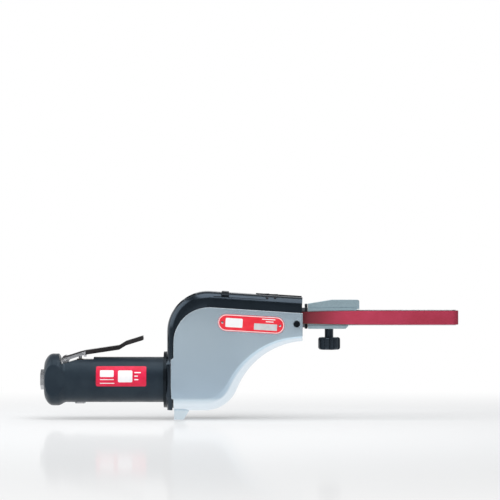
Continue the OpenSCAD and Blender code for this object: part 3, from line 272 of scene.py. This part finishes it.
def cover_paint():
    """Silver metallic paint with flakes, with painted shade darker towards the bottom, a painted
    highlight along the lip at the foot and painted highlights on the rounded edges.
    """
    # The third colour here is a painted shade for the bottom; the lip and edge colours on the next
    # line are painted highlights.
    silver, bright, low = (0.655, 0.81, 0.925), (0.69, 0.84, 0.95), (0.38, 0.495, 0.60)
    painted_lip_highlight, painted_edge_highlight, flake = (0.63, 0.73, 0.80), (0.74, 0.82, 0.885), (0.70, 0.80, 0.88)
    painted_shade_fall, painted_lip_span = (-0.02, 0.055), (-0.0195, -0.0145)
    painted_edge_span, top_span, flake_span = (-0.985, -0.88), (0.15, 0.5), (0.1, 0.7)
    flat_metallic, top_metallic, most_flake = 0.78, 0.15, 0.25
    s = Shader("cover_silver", (0.60, 0.73, 0.83), 0.2, flat_metallic,
               Coat_Weight=0.5, Coat_Roughness=0.1)
    height = s.split(s.place, Z)
    tone_with_painted_light = s.mix(s.ramp(s.noise(22, stretch=lines(Z, 0.4)), *PATCHES), silver, bright)
    # Painted shade: the colour darkens towards the bottom.
    tone_with_painted_light = s.mix(s.ramp(height, *painted_shade_fall), low, tone_with_painted_light)
    # Painted highlight: a pale lip at the foot, below the painted shade.
    tone_with_painted_light = s.mix(s.ramp(height, *painted_lip_span), painted_lip_highlight, tone_with_painted_light)
    # Painted highlight: pale where the surface turns away from the front, on the rounded edges.
    tone_with_painted_light = s.mix(s.ramp(s.facing(Y), *painted_edge_span), tone_with_painted_light, painted_edge_highlight)
    flakes = s.ramp(s.cells(5200), *flake_span, most_flake, 0.0)
    s.feed("Base Color", s.mix(flakes, tone_with_painted_light, flake))
    s.feed("Metallic", s.ramp(s.facing(Z), *top_span, flat_metallic, top_metallic))
    worn(s, 0.18, 0.22, scale=14, detail=0.0)
    return s.mat


def housing_paint():
    """Dark metallic paint, matt and blacker on the raised pad along the hood's top."""
    pad_upright, pad_span = (0.0645, 0.0, 0.9979), (0.0903, 0.0905)
    gloss, matt = 0.2, 0.5
    s = Shader("housing_black", HEAD_DARK, gloss, PAINT_METALLIC,
               Coat_Weight=PAINT_COAT, Coat_Roughness=COAT_ROUGHNESS)
    pad = s.ramp(s.along(pad_upright), *pad_span)
    paint = s.mix(s.ramp(s.noise(45), *DRIFT), HEAD_DARK, HEAD_LIGHT)
    s.feed("Base Color", s.mix(pad, paint, MATT_BLACK))
    s.feed("Roughness", s.ramp(pad, 0.0, 1.0, gloss, matt))
    paint_skin(s)
    return s.mat


def lever_metal():
    """Bright sides at the lever's rear; darker on its top and forward of the lock-off tab, a
    painted dark reflection of the unlit room in the plated lever.
    """
    top_upright, top_span, fore_span = (-0.315, 0.0, 0.949), (0.0116, 0.0120), (0.0405, 0.0412)
    s = Shader("lever_plate", (0.5, 0.5, 0.52), 0.16, 0.9)
    length = s.split(s.place, X)
    rear_roughness, fore_roughness = 0.12, 0.2
    bright = s.mix(s.ramp(s.noise(140), *PATCHES), (0.66, 0.67, 0.69), (0.52, 0.53, 0.56))
    streaks = s.ramp(s.noise(220, stretch=lines(X, 0.2)), *PATCHES)
    # Painted dark reflection: the plated lever's mirror of the unlit room, drawn out in streaks
    # along its length.
    painted_dark_reflection = s.mix(streaks, (0.030, 0.028, 0.030), (0.085, 0.080, 0.082))
    rear = s.mix(s.ramp(s.along(top_upright), *top_span), bright, painted_dark_reflection)
    s.feed("Base Color", s.mix(s.ramp(length, *fore_span), rear, painted_dark_reflection))
    s.feed("Roughness", s.ramp(length, *fore_span, rear_roughness, fore_roughness))
    s.bump(s.noise(700, stretch=lines(X, 0.15)), depth=0.00003, strength=0.2)
    return s.mat


def grit():
    """Abrasive grain in a resin coat, with painted shade darker where it nears the head."""
    grain_scale, resin_span, tip_span = 3400, (0.35, 0.7), (0.1, 0.5)
    pit_span, painted_shade_span = (0.55, 0.75), (0.238, 0.285)
    tip, pit, painted_shade = (0.49, 0.062, 0.11), (0.30, 0.022, 0.044), (0.15, 0.014, 0.024)
    s = Shader("abrasive_grit", (0.36, 0.045, 0.07), 0.78, Specular_IOR_Level=0.35)
    resin = s.mix(s.ramp(s.noise(70), *resin_span), (0.38, 0.030, 0.062), (0.43, 0.038, 0.082))
    grain = s.mix(s.ramp(s.cells(grain_scale), *tip_span), tip, resin)
    grain = s.mix(s.ramp(s.noise(5200, detail=2.0), *pit_span), grain, pit)
    # Painted shade: darker towards the head, where the hood and holder shade the belt.
    s.feed("Base Color", s.mix(s.ramp(s.split(s.place, X), *painted_shade_span), painted_shade, grain))
    s.bump(s.cells(grain_scale), depth=0.00008, strength=0.35)
    s.bump(s.noise(8000), depth=0.00003, strength=0.2)
    return s.mat


def cloth_back():
    """The belt's woven backing."""
    s = Shader("belt_backing", (0.17, 0.075, 0.05), 0.85)
    tinted(s, (0.15, 0.065, 0.045), (0.21, 0.095, 0.062), scale=120)
    weave = s.add("ShaderNodeTexWave", wave_type="BANDS", bands_direction="DIAGONAL")
    weave.inputs["Scale"].default_value = 900
    s.link(s.place, weave.inputs["Vector"])
    s.bump(weave.outputs["Fac"], depth=0.00008, strength=0.5)
    return s.mat


# Two shades, then roughness and what the kind of finish asks for
MATS = {
    "grip_black": moulded("grip_black", (0.017, 0.025, 0.035), (0.022, 0.032, 0.043), 0.36,
                          grain=1500, level=0.25),
    "head_black": painted("head_black", HEAD_DARK, HEAD_LIGHT, 0.15),
    "cover_silver": cover_paint(),
    "bright_plate": metal("bright_plate", (0.72, 0.73, 0.75), (0.64, 0.65, 0.68), 0.15, EVEN,
                          scale=300, depth=0.00001),
    "steel": metal("steel", (0.50, 0.51, 0.53), (0.43, 0.44, 0.46), 0.28, lines(X, 0.2)),
    "spring_steel": metal("spring_steel", (0.42, 0.43, 0.46), (0.34, 0.35, 0.38), 0.26,
                          lines(Z, 0.4)),
    "bar_steel": metal("bar_steel", (0.30, 0.31, 0.34), (0.24, 0.25, 0.28), 0.34, lines(X, 0.1)),
    "alloy": metal("alloy", (0.50, 0.53, 0.56), (0.43, 0.46, 0.49), 0.34, lines(X, 0.25)),
    "holder_grey": metal("holder_grey", (0.59, 0.77, 0.85), (0.53, 0.70, 0.78), 0.36, lines(X, 0.6),
                         scale=2400),
    "dark_steel": metal("dark_steel", (0.05, 0.052, 0.058), (0.035, 0.036, 0.041), 0.38, EVEN,
                        scale=700),
    "rubber_black": moulded("rubber_black", (0.018, 0.018, 0.020), (0.026, 0.026, 0.028), 0.68,
                            grain=2200),
    "bronze": metal("bronze", (0.46, 0.31, 0.12), (0.38, 0.24, 0.09), 0.32, lines(Z, 0.3)),
    "vane_laminate": moulded("vane_laminate", (0.22, 0.135, 0.065), (0.28, 0.18, 0.09), 0.6,
                             grain=900),
    "button": moulded("button_black", MATT_BLACK, (0.006, 0.008, 0.010), 0.3,
                      grain=2600, level=0.2),
    "knob_black": moulded("knob_black", (0.010, 0.014, 0.019), (0.016, 0.021, 0.027), 0.18,
                          grain=2600),
    "muffler_grey": moulded("muffler_grey", (0.06, 0.062, 0.068), (0.10, 0.10, 0.11), 0.75,
                            grain=2800),
    "plate_red": enamel("plate_red", (0.80, 0.026, 0.045), (0.86, 0.038, 0.060)),
    "label_red": enamel("label_red", (0.70, 0.013, 0.052), (0.78, 0.020, 0.078)),
    "label_white": enamel("label_white", (0.89, 0.88, 0.89), (0.92, 0.91, 0.92)),
    "field_grey": enamel("field_grey", (0.56, 0.57, 0.58), (0.64, 0.65, 0.66)),
    "lever": lever_metal(),
    "housing": housing_paint(),
    "abrasive_red": grit(),
    "backing": cloth_back(),
}


# CAD nodes: a finish, joined seams, small rounded edges (in millimetres) and smooth curved faces
SLOT_OF = {row["node"]: row["material_slot"] for row in frame["record"]["subparts"]}
# handle_collar takes the matt black finish as painted shade: it stands for the dark shadowed gap
# between the grip and the hood.
OWN_FINISH = {"throttle_lever": "lever", "lock_button": "button", "belt_housing": "housing",
              "cover_pivot_screw": "button", "arm_guide_screws": "button",
              "handle_collar": "button"}
ROUND = {"handle_grip": 0.5, "belt_cover": 1.0, "rear_shell": 0.35, "arm_holder": 0.45,
         "tracking_knob": 0.6, "throttle_lever": 0.35, "handle_collar": 0.5, "bumper": 0.3,
         "lock_button": 0.4, "nameplate": 0.12, "nameplate_rivets": 0.25, "cover_pivot_screw": 0.3,
         "lock_off_lever": 0.25, "arm_guide_screws": 0.25, "rear_shell_screws": 0.3,
         "inlet_bushing": 0.25, "contact_arm": 0.3, "tip_wheel": 0.2, "speed_regulator": 0.3,
         "lever_pin": 0.2, "tension_bar": 0.3}
ROUND_REST = 0.1
NO_ROUND = {"belt_housing"}
SEAM_REACH = 2e-6
EDGE_STEPS, EDGE_ANGLE = 2, math.radians(38)
NORMAL_WEIGHT = 60


def dress(name, obj):
    slot = SLOT_OF[name]
    obj.data.materials.clear()
    obj.data.materials.append(MATS[OWN_FINISH.get(name, slot)])
    for polygon in obj.data.polygons:
        polygon.material_index = 0
        polygon.use_smooth = True
    weld = obj.modifiers.new("seams", "WELD")
    weld.merge_threshold = SEAM_REACH
    if name not in NO_ROUND:
        bevel = obj.modifiers.new("edges", "BEVEL")
        bevel.width = ROUND.get(name, ROUND_REST) * MM
        bevel.segments = EDGE_STEPS
        bevel.limit_method = "ANGLE"
        bevel.angle_limit = EDGE_ANGLE
        bevel.use_clamp_overlap = True
        bevel.loop_slide = False
    even = obj.modifiers.new("normals", "WEIGHTED_NORMAL")
    even.mode = "FACE_AREA_WITH_ANGLE"
    even.weight = NORMAL_WEIGHT


for node_name, node_obj in nodes.items():
    dress(node_name, node_obj)


# Mesh pieces, in millimetres in the row frame
def piece(name, verts, faces, body, materials, marks=None, smooth=True):
    """A mesh that rides on a body, if one is named. marks gives each face's material."""
    mesh = bpy.data.meshes.new(name)
    mesh.from_pydata([Vector(v) * MM for v in verts], [], faces)
    for material in materials:
        mesh.materials.append(material)
    for i, polygon in enumerate(mesh.polygons):
        polygon.use_smooth = smooth
        if marks:
            polygon.material_index = marks[i]
    mesh.validate()
    obj = bpy.data.objects.new(name, mesh)
    scene.collection.objects.link(obj)
    if body:
        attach(obj, body)
    return obj


def turn(degrees):
    return math.cos(math.radians(degrees)), math.sin(math.radians(degrees))


CORNER_STEPS, SIDE_STEPS = 6, 8


class Sheet:
    """Thin plates with round corners, laid on a surface given by place(u, v, lift)."""

    def __init__(self, place):
        self.place, self.verts, self.faces, self.marks = place, [], [], []

    def plate(self, u, v, corner, lift, mark, columns):
        """A closed plate over the spans u and v, between two lifts."""
        (u0, u1), (v0, v1), (low, high) = u, v, lift
        bends = [math.pi / 2 * i / CORNER_STEPS for i in range(CORNER_STEPS + 1)]
        side = v1 - v0 - 2 * corner
        rows = [(v0 + corner - corner * math.cos(a), corner - corner * math.sin(a)) for a in bends]
        rows += [(v0 + corner + side * i / SIDE_STEPS, 0.0) for i in range(1, SIDE_STEPS)]
        rows += [(v1 - corner + corner * math.sin(a), corner - corner * math.cos(a)) for a in bends]
        start, wide, last = len(self.verts), columns + 1, len(rows) - 1
        for height in (high, low):
            for across, inset in rows:
                reach = u1 - u0 - 2 * inset
                for k in range(wide):
                    self.verts.append(self.place(u0 + inset + reach * k / columns, across, height))
        count = len(rows) * wide
        for j in range(last):
            for k in range(columns):
                a = start + j * wide + k
                b = a + count
                self.add((a, a + 1, a + wide + 1, a + wide), mark)
                self.add((b, b + wide, b + wide + 1, b + 1), mark)
        ring = list(range(wide)) + [j * wide + columns for j in range(1, last + 1)]
        ring += [last * wide + k for k in range(columns - 1, -1, -1)]
        ring += [j * wide for j in range(last - 1, 0, -1)]
        for a, b in zip(ring, ring[1:] + ring[:1]):
            self.add((start + a, start + a + count, start + b + count, start + b), mark)

    def add(self, face, mark):
        self.faces.append(face)
        self.marks.append(mark)

    def made(self, name, body, materials, slot):
        piece(name, self.verts, self.faces, body, materials, self.marks, smooth=False)


# Label on the grip: red, with a blank white square, a blank field and plain bars
GRIP_R = 20.6
GROUND, WHITE = 0, 1
FIELD_START, FINE_START = 55.0, 86.0
LINE_HALF, FINE_HALF = 0.35, 0.5
LABEL_LIFT, SQUARE_LIFT, PRINT_LIFT = (0.02, 0.16), (0.10, 0.20), (0.10, 0.19)


def on_grip(u, v, lift):
    """u along the grip, v round it from the side that faces -Y, upwards."""
    r, a = GRIP_R + lift, v / GRIP_R
    return (u, -r * math.cos(a), r * math.sin(a))


def heights(low, high):
    """The span round the grip between two heights."""
    return tuple(GRIP_R * math.asin(z / GRIP_R) for z in (low, high))


label = Sheet(on_grip)
label.plate((51.4, 96.8), heights(-5.2, 12.7), 1.6, LABEL_LIFT, GROUND, columns=40)
label.plate((71.3, 84.3), heights(-1.5, 9.0), 1.2, SQUARE_LIFT, WHITE, columns=12)
label.plate((FIELD_START, 67.4), heights(3.2, 9.2), 0.9, PRINT_LIFT, WHITE, columns=12)
for bar_end, z in ((67.6, 0.9), (68.2, -2.4)):
    bar = heights(z - LINE_HALF, z + LINE_HALF)
    label.plate((FIELD_START, bar_end), bar, 0.3, PRINT_LIFT, WHITE, columns=12)
for bar_end, z in ((92.0, 7.1), (89.4, 4.0), (89.8, 0.9)):
    bar = heights(z - FINE_HALF, z + FINE_HALF)
    label.plate((FINE_START, bar_end), bar, 0.4, PRINT_LIFT, WHITE, columns=6)
label.made("handle_label", "body", [MATS["label_red"], MATS["label_white"]], "plate_red")

# Nameplate: blank fields, plain bars and a thin bright rim, sunk a little into its face
plate_low, plate_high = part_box("nameplate")
PLATE_X = (plate_low.x + plate_high.x) / 2 / MM
PLATE_Z = (plate_low.z + plate_high.z) / 2 / MM
PLATE_Y = plate_low.y / MM
TILT = math.radians(3.4)
SUNK, FIELD_LIFT, BAR_LIFT, BAR_HALF = -0.05, 0.06, 0.05, 0.4
RIM_SLOPE, RIM_STEPS = 0.05, 20


def on_plate(u, v, lift):
    """u along the plate from its middle, v upwards."""
    return (PLATE_X + u * math.cos(TILT) + v * math.sin(TILT), PLATE_Y - lift,
            PLATE_Z - u * math.sin(TILT) + v * math.cos(TILT))


fields = Sheet(on_plate)
fields.plate((2.6, 23.4), (-4.9, 0.9), 0.4, (SUNK, FIELD_LIFT), GROUND, columns=12)
fields.plate((-23.2, -7.8), (-3.9, 4.3), 1.0, (SUNK, FIELD_LIFT), WHITE, columns=12)
for bar_start, bar_end, v in ((9.5, 21.5, 5.0), (13.0, 20.0, 2.9)):
    bar = (v - BAR_HALF, v + BAR_HALF)
    fields.plate((bar_start, bar_end), bar, 0.3, (SUNK, BAR_LIFT), WHITE, columns=6)
fields.made("nameplate_fields", "cover", [MATS["field_grey"], MATS["label_white"]], "plate_red")


def stadium_rim(length, height, width, lift):
    """A raised border that follows the nameplate's outline."""
    reach, outside, inside = (length - height) / 2, height / 2, height / 2 - width
    outline = [(reach, -90 + 180 * i / RIM_STEPS) for i in range(RIM_STEPS + 1)]
    outline += [(-reach, 90 + 180 * i / RIM_STEPS) for i in range(RIM_STEPS + 1)]
    section = ((outside, SUNK), (outside - RIM_SLOPE, lift),
               (inside, lift), (inside - RIM_SLOPE, SUNK))
    verts, faces = [], []
    for x, a in outline:
        c, s = turn(a)
        for r, h in section:
            verts.append(on_plate(x + r * c, r * s, h))
    m, count = len(section), len(outline)
    for i in range(count):
        j = (i + 1) % count
        for k in range(m):
            n = (k + 1) % m
            faces.append((m * i + k, m * j + k, m * j + n, m * i + n))
    piece("nameplate_rim", verts, faces, "cover", [MATS["label_white"]])


stadium_rim(length=59.2, height=14.4, width=0.55, lift=0.1)


# Two small socket screws on the hood's near shoulder, seated where a line from the front meets it
SCREW_PROFILE = ((0.55, 0.2), (0.62, 0.5), (1.05, 0.46), (1.3, 0.2), (1.35, -0.5))
SCREW_SIDES, SCREW_Z, IN_FRONT = 24, 74.6, -60


def shoulder_screw(name, x):
    graph = bpy.context.evaluated_depsgraph_get()
    start = Vector((x, IN_FRONT, SCREW_Z)) * MM
    _, seat, out, _ = nodes["belt_housing"].ray_cast(start, Vector((0, 1, 0)), depsgraph=graph)
    turned = out.to_track_quat("Z", "Y")
    verts, faces = [], []
    for i in range(SCREW_SIDES):
        a = 2 * math.pi * i / SCREW_SIDES
        for r, h in SCREW_PROFILE:
            verts.append(seat / MM + turned @ Vector((r * math.cos(a), r * math.sin(a), h)))
    m = len(SCREW_PROFILE)
    for i in range(SCREW_SIDES):
        for k in range(m - 1):
            a, b = i * m + k, ((i + 1) % SCREW_SIDES) * m + k
            faces.append((a, a + 1, b + 1, b))
    faces.append(tuple(i * m for i in range(SCREW_SIDES)))
    faces.append(tuple(i * m + m - 1 for i in reversed(range(SCREW_SIDES))))
    piece(name, verts, faces, "body", [MATS["dark_steel"]])


shoulder_screw("shoulder_screw_1", 205.9)
shoulder_screw("shoulder_screw_2", 213.1)


# Belt: the CAD node's loop with finer steps, a grit face and a cloth back. The strip round the
# wheels rides on the body, and the strip along the arm is attached to no body; they meet inside the
# head.
DRIVE_X, DRIVE_R, DRIVE_STEPS = 149.0, 12.0, 40
IDLER_X, IDLER_Z, IDLER_R, IDLER_STEPS = 159.7, 45.7, 10.7, 20
TIP_R, TIP_STEPS = 5.7, 32
RISE_STEPS = 24
# The run from an idler to the tip: how far each side comes in, and how early it turns upright
ARM_Z, RUN, RUN_INWARD, RUN_TWIST, RUN_STEPS = 56.4, 214.397, 6.3, 1.9, 120
# Where the strips meet, and the share of the run between their ends
MEET_STEP, MEET_GAP = 12, 0.0001
# Half the belt's width and thickness
HALF_W, HALF_T = 6.35, 0.45
GRIT, CLOTH = 0, 1


def ease(t):
    return t * t * (3 - 2 * t)


# Each of these gives a point of the loop, the way out of the grit face and the way across the belt.
# y is -1 on the near side and 1 on the far side.
def at_drive(a):
    c, s = turn(a)
    return (DRIVE_X, DRIVE_R * c, DRIVE_R * s), (0, c, s), (1, 0, 0)


def at_rise(t, y):
    c, s = turn(90 * ease(t))
    return (DRIVE_X, y * DRIVE_R, IDLER_Z * t), (-s, y * c, 0), (c, y * s, 0)


def at_idler(a, y):
    c, s = turn(a)
    return (IDLER_X + IDLER_R * c, y * DRIVE_R, IDLER_Z + IDLER_R * s), (c, 0, s), (0, y, 0)


def at_run(t, y):
    c, s = turn(90 * (1 - (1 - t) ** RUN_TWIST))
    return (IDLER_X + RUN * t, y * (DRIVE_R - RUN_INWARD * t), ARM_Z), (0, y * s, c), (0, y * c, -s)


def at_tip(a):
    c, s = turn(a)
    return (IDLER_X + RUN + TIP_R * c, TIP_R * s, ARM_Z), (c, s, 0), (0, 0, -1)


def from_drive(y):
    """One side of the belt from the drive wheel over a guide idler to the meeting point."""
    return ([at_rise(i / RISE_STEPS, y) for i in range(1, RISE_STEPS + 1)]
            + [at_idler(180 - 90 * i / IDLER_STEPS, y) for i in range(1, IDLER_STEPS + 1)]
            + [at_run(i / RUN_STEPS, y) for i in range(1, MEET_STEP + 1)])


def to_tip(y):
    """One side of the belt from the meeting point to the tip wheel."""
    return ([at_run(MEET_STEP / RUN_STEPS + MEET_GAP, y)]
            + [at_run(i / RUN_STEPS, y) for i in range(MEET_STEP + 1, RUN_STEPS + 1)])


def strip(name, path, body):
    """A closed strip along the path: grit on its outer face, cloth on the rest."""
    outer = [(1, 1), (0.98, 1), (0.5, 1), (0, 1), (-0.5, 1), (-0.98, 1), (-1, 1)]
    section = outer + [(-1, -1), (-0.5, -1), (0, -1), (0.5, -1), (1, -1)]
    verts, faces, marks = [], [], []
    for middle, out, across in path:
        for w, h in section:
            beside, above = Vector(across) * (w * HALF_W), Vector(out) * (h * HALF_T)
            verts.append(Vector(middle) + beside + above)
    m = len(section)
    last = (len(path) - 1) * m
    for i in range(0, last, m):
        for k in range(m):
            j = (k + 1) % m
            faces.append((i + j, i + m + j, i + m + k, i + k))
            marks.append(GRIT if k < len(outer) - 1 else CLOTH)
    for end in (tuple(range(m - 1, -1, -1)), tuple(range(last, last + m))):
        faces.append(end)
        marks.append(CLOTH)
    materials = [MATS["abrasive_red"], MATS["backing"]]
    made = piece(name, verts, faces, body, materials, marks, smooth=False)
    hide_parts("abrasive_belt")
    return made


round_drive = [at_drive(180 + 180 * i / DRIVE_STEPS) for i in range(DRIVE_STEPS + 1)]
round_tip = [at_tip(90 - 180 * i / TIP_STEPS) for i in range(1, TIP_STEPS)]
strip("grit_belt", from_drive(-1)[::-1] + round_drive + from_drive(1), "body")
arm_run = strip("grit_belt_run", to_tip(1) + round_tip + to_tip(-1)[::-1], None)
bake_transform(arm_run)


# Springs: round wire in place of the CAD coils, which are hidden
COIL_STEPS, WIRE_SIDES = 28, 10


def coil(name, node, axis, seat, r, wire, turns):
    """r is the coil's middle radius, wire the wire's radius, and seat a point on the coil's axis;
    the coil runs the CAD coil's length from its low end.
    """
    low, high = (corner[axis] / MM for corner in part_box(node))
    length = high - low
    at = [low if i == axis else seat[i] for i in range(3)]
    verts, faces = [], []
    steps = turns * COIL_STEPS
    for i in range(steps + 1):
        c, s = math.cos(2 * math.pi * i / COIL_STEPS), math.sin(2 * math.pi * i / COIL_STEPS)
        rise = wire + (length - 2 * wire) * i / steps
        for k in range(WIRE_SIDES):
            b = 2 * math.pi * k / WIRE_SIDES
            q, h = r + wire * math.cos(b), rise + wire * math.sin(b)
            p = (h, q * s, -q * c) if axis == X else (q * c, q * s, h)
            verts.append((at[0] + p[0], at[1] + p[1], at[2] + p[2]))
    for i in range(steps):
        for k in range(WIRE_SIDES):
            a, b = i * WIRE_SIDES + k, i * WIRE_SIDES + (k + 1) % WIRE_SIDES
            faces.append((a, a + WIRE_SIDES, b + WIRE_SIDES, b))
    end = steps * WIRE_SIDES
    faces.append(tuple(range(WIRE_SIDES)))
    faces.append(tuple(range(end + WIRE_SIDES - 1, end - 1, -1)))
    made = piece(name, verts, faces, "body", [MATS["spring_steel"]])
    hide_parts(node)
    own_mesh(made)


coil("valve_coil", "valve_spring", Z, (35.9, 0, None), r=2.9, wire=0.4, turns=5)
coil("button_coil", "lock_button_spring", Z, (168.2, 0, None), r=3.0, wire=0.35, turns=3)
coil("tension_coil", "tension_spring", X, (None, 0, 53.9), r=2.3, wire=0.45, turns=9)


# Floor, light and camera, in metres
class Stage(Tree):
    """A node tree that shows the camera, metal and glass a white studio."""

    def math(self, operation, a, b):
        node = self.add("ShaderNodeMath", operation=operation)
        self.link(a, node.inputs[0])
        self.link(b, node.inputs[1])
        return node.outputs[0]

    def shader(self, kind, color, **sockets):
        node = self.add(kind)
        node.inputs["Color"].default_value = (*color, 1)
        for key, value in sockets.items():
            node.inputs[key].default_value = value
        return node

    def blend(self, share, a, b):
        node = self.add("ShaderNodeMixShader")
        self.link(share, node.inputs["Fac"])
        self.link(a.outputs[0], node.inputs[1])
        self.link(b.outputs[0], node.inputs[2])
        return node

    def seen(self, metal_share, camera_share=None):
        """Where white shows: to a share of metal and glass, and to all or a share of the camera."""
        path = self.add("ShaderNodeLightPath").outputs
        direct = path["Is Camera Ray"]
        if camera_share:
            direct = self.math("MULTIPLY", direct, camera_share)
        shine = self.math("MAXIMUM", path["Is Glossy Ray"], path["Is Transmission Ray"])
        return self.math("MAXIMUM", direct, self.math("MULTIPLY", shine, metal_share))


WHITE_LIGHT = (1, 1, 1)
MIDDLE_X = 0.19
FLOOR_R, FLOOR_SIDES, FLOOR_GAP = 1.1, 96, 0.0002


def floor_material():
    """Pale, with a sheen at low angles, and white to camera and metal away from the object."""
    mat = bpy.data.materials.new("floor_pale")
    mat.use_nodes = True
    mat.cycles.emission_sampling = "NONE"
    n = Stage(mat.node_tree)
    matt = n.shader("ShaderNodeBsdfDiffuse", (0.72, 0.73, 0.74))
    sheen = n.shader("ShaderNodeBsdfGlossy", WHITE_LIGHT, Roughness=0.08)
    white = n.shader("ShaderNodeEmission", WHITE_LIGHT)
    offset = n.add("ShaderNodeMapping")
    offset.inputs["Location"].default_value = (-MIDDLE_X, 0.0, 0.0)
    n.link(n.coordinate("Object"), offset.inputs["Vector"])
    place = offset.outputs["Vector"]
    length = n.add("ShaderNodeVectorMath", operation="LENGTH")
    n.link(place, length.inputs[0])
    distance = length.outputs["Value"]
    outward = n.ramp(distance, 0.35, 1.05, low=0.2, high=1.0)
    backward = n.ramp(n.split(place, Y), 0.02, 0.45, low=0.2, high=1.0)
    near = n.ramp(distance, 0.3, 1.0, low=1.0, high=0.25)
    graze = n.ramp(n.add("ShaderNodeLayerWeight").outputs["Facing"], 0.72, 0.95, low=0.02, high=0.2)
    seen = n.seen(near, n.math("MAXIMUM", outward, backward))
    surface = n.blend(seen, n.blend(graze, matt, sheen), white)
    n.link(surface.outputs[0], n.tree.nodes["Material Output"].inputs["Surface"])
    return mat


def floor():
    z = cad_low.z - FLOOR_GAP
    ring = [2 * math.pi * i / FLOOR_SIDES for i in range(FLOOR_SIDES)]
    verts = [(MIDDLE_X + FLOOR_R * math.cos(a), FLOOR_R * math.sin(a), z) for a in ring]
    mesh = bpy.data.meshes.new("floor")
    mesh.from_pydata(verts, [], [tuple(range(FLOOR_SIDES))])
    mesh.materials.append(floor_material())
    obj = bpy.data.objects.new("floor", mesh)
    scene.collection.objects.link(obj)


def world():
    """White to the camera, and to metal that faces the back; a plain soft room to all else."""
    made = bpy.data.worlds.new("studio")
    scene.world = made
    made.use_nodes = True
    made.cycles.sampling_method = "NONE"
    n = Stage(made.node_tree)
    white = n.shader("ShaderNodeBackground", WHITE_LIGHT, Strength=1.0)
    room = n.shader("ShaderNodeBackground", (0.95, 0.98, 1.0))
    look = n.coordinate("Generated")
    depth = n.split(look, Y)
    wall = n.ramp(n.split(look, Z), 0.25, 0.6, low=1.0, high=0.2)
    strength = n.math("MULTIPLY", n.ramp(depth, -0.3, 0.5, low=0.2, high=0.9), wall)
    n.link(strength, room.inputs["Strength"])
    behind = n.math("MULTIPLY", n.ramp(depth, -0.1, 0.4), wall)
    surface = n.blend(n.seen(behind), room, white)
    n.link(surface.outputs[0], n.tree.nodes["World Output"].inputs["Surface"])


def lamp(name, place, target, size, watts, gloss):
    """A soft lamp. gloss says whether it shows in reflections."""
    data = bpy.data.lights.new(name, "AREA")
    data.shape = "RECTANGLE"
    data.size, data.size_y = size
    data.energy = watts
    obj = bpy.data.objects.new(name, data)
    scene.collection.objects.link(obj)
    obj.location = place
    obj.rotation_euler = (Vector(target) - Vector(place)).to_track_quat("-Z", "Y").to_euler()
    obj.visible_camera = False
    obj.visible_glossy = gloss


SENSOR = 36
CAMERA_AT = (0.1905, -2.2, 0.1179)
FOCUS, HALF_VIEW = 2.19, 0.22675


def camera():
    """Level and square to the side. Half the picture's width is HALF_VIEW at the distance FOCUS."""
    data = bpy.data.cameras.new("camera")
    data.sensor_width = SENSOR
    data.lens = SENSOR / 2 * FOCUS / HALF_VIEW
    obj = bpy.data.objects.new("camera", data)
    scene.collection.objects.link(obj)
    obj.location = CAMERA_AT
    obj.rotation_euler = (math.radians(90), 0, 0)
    scene.camera = obj


floor()
world()
lamp("back_softbox", (0.2, 0.9, 0.95), (MIDDLE_X, 0, 0.02), (1.6, 0.8), watts=4.0, gloss=False)
lamp("top_softbox", (0.24, -0.16, 0.55), (0.22, -0.05, 0.06), (0.5, 0.55), watts=2.6, gloss=True)
lamp("left_softbox", (-0.6, -0.15, 0.5), (0.15, 0, 0.05), (0.8, 0.8), watts=4.4, gloss=True)
lamp("front_fill", (-0.2, -1.6, 0.6), (MIDDLE_X, 0, 0.02), (1.0, 1.0), watts=10.8, gloss=False)
lamp("top_fill", (MIDDLE_X, 0.0, 1.4), (MIDDLE_X, 0, 0), (1.2, 1.2), watts=2.0, gloss=False)
camera()
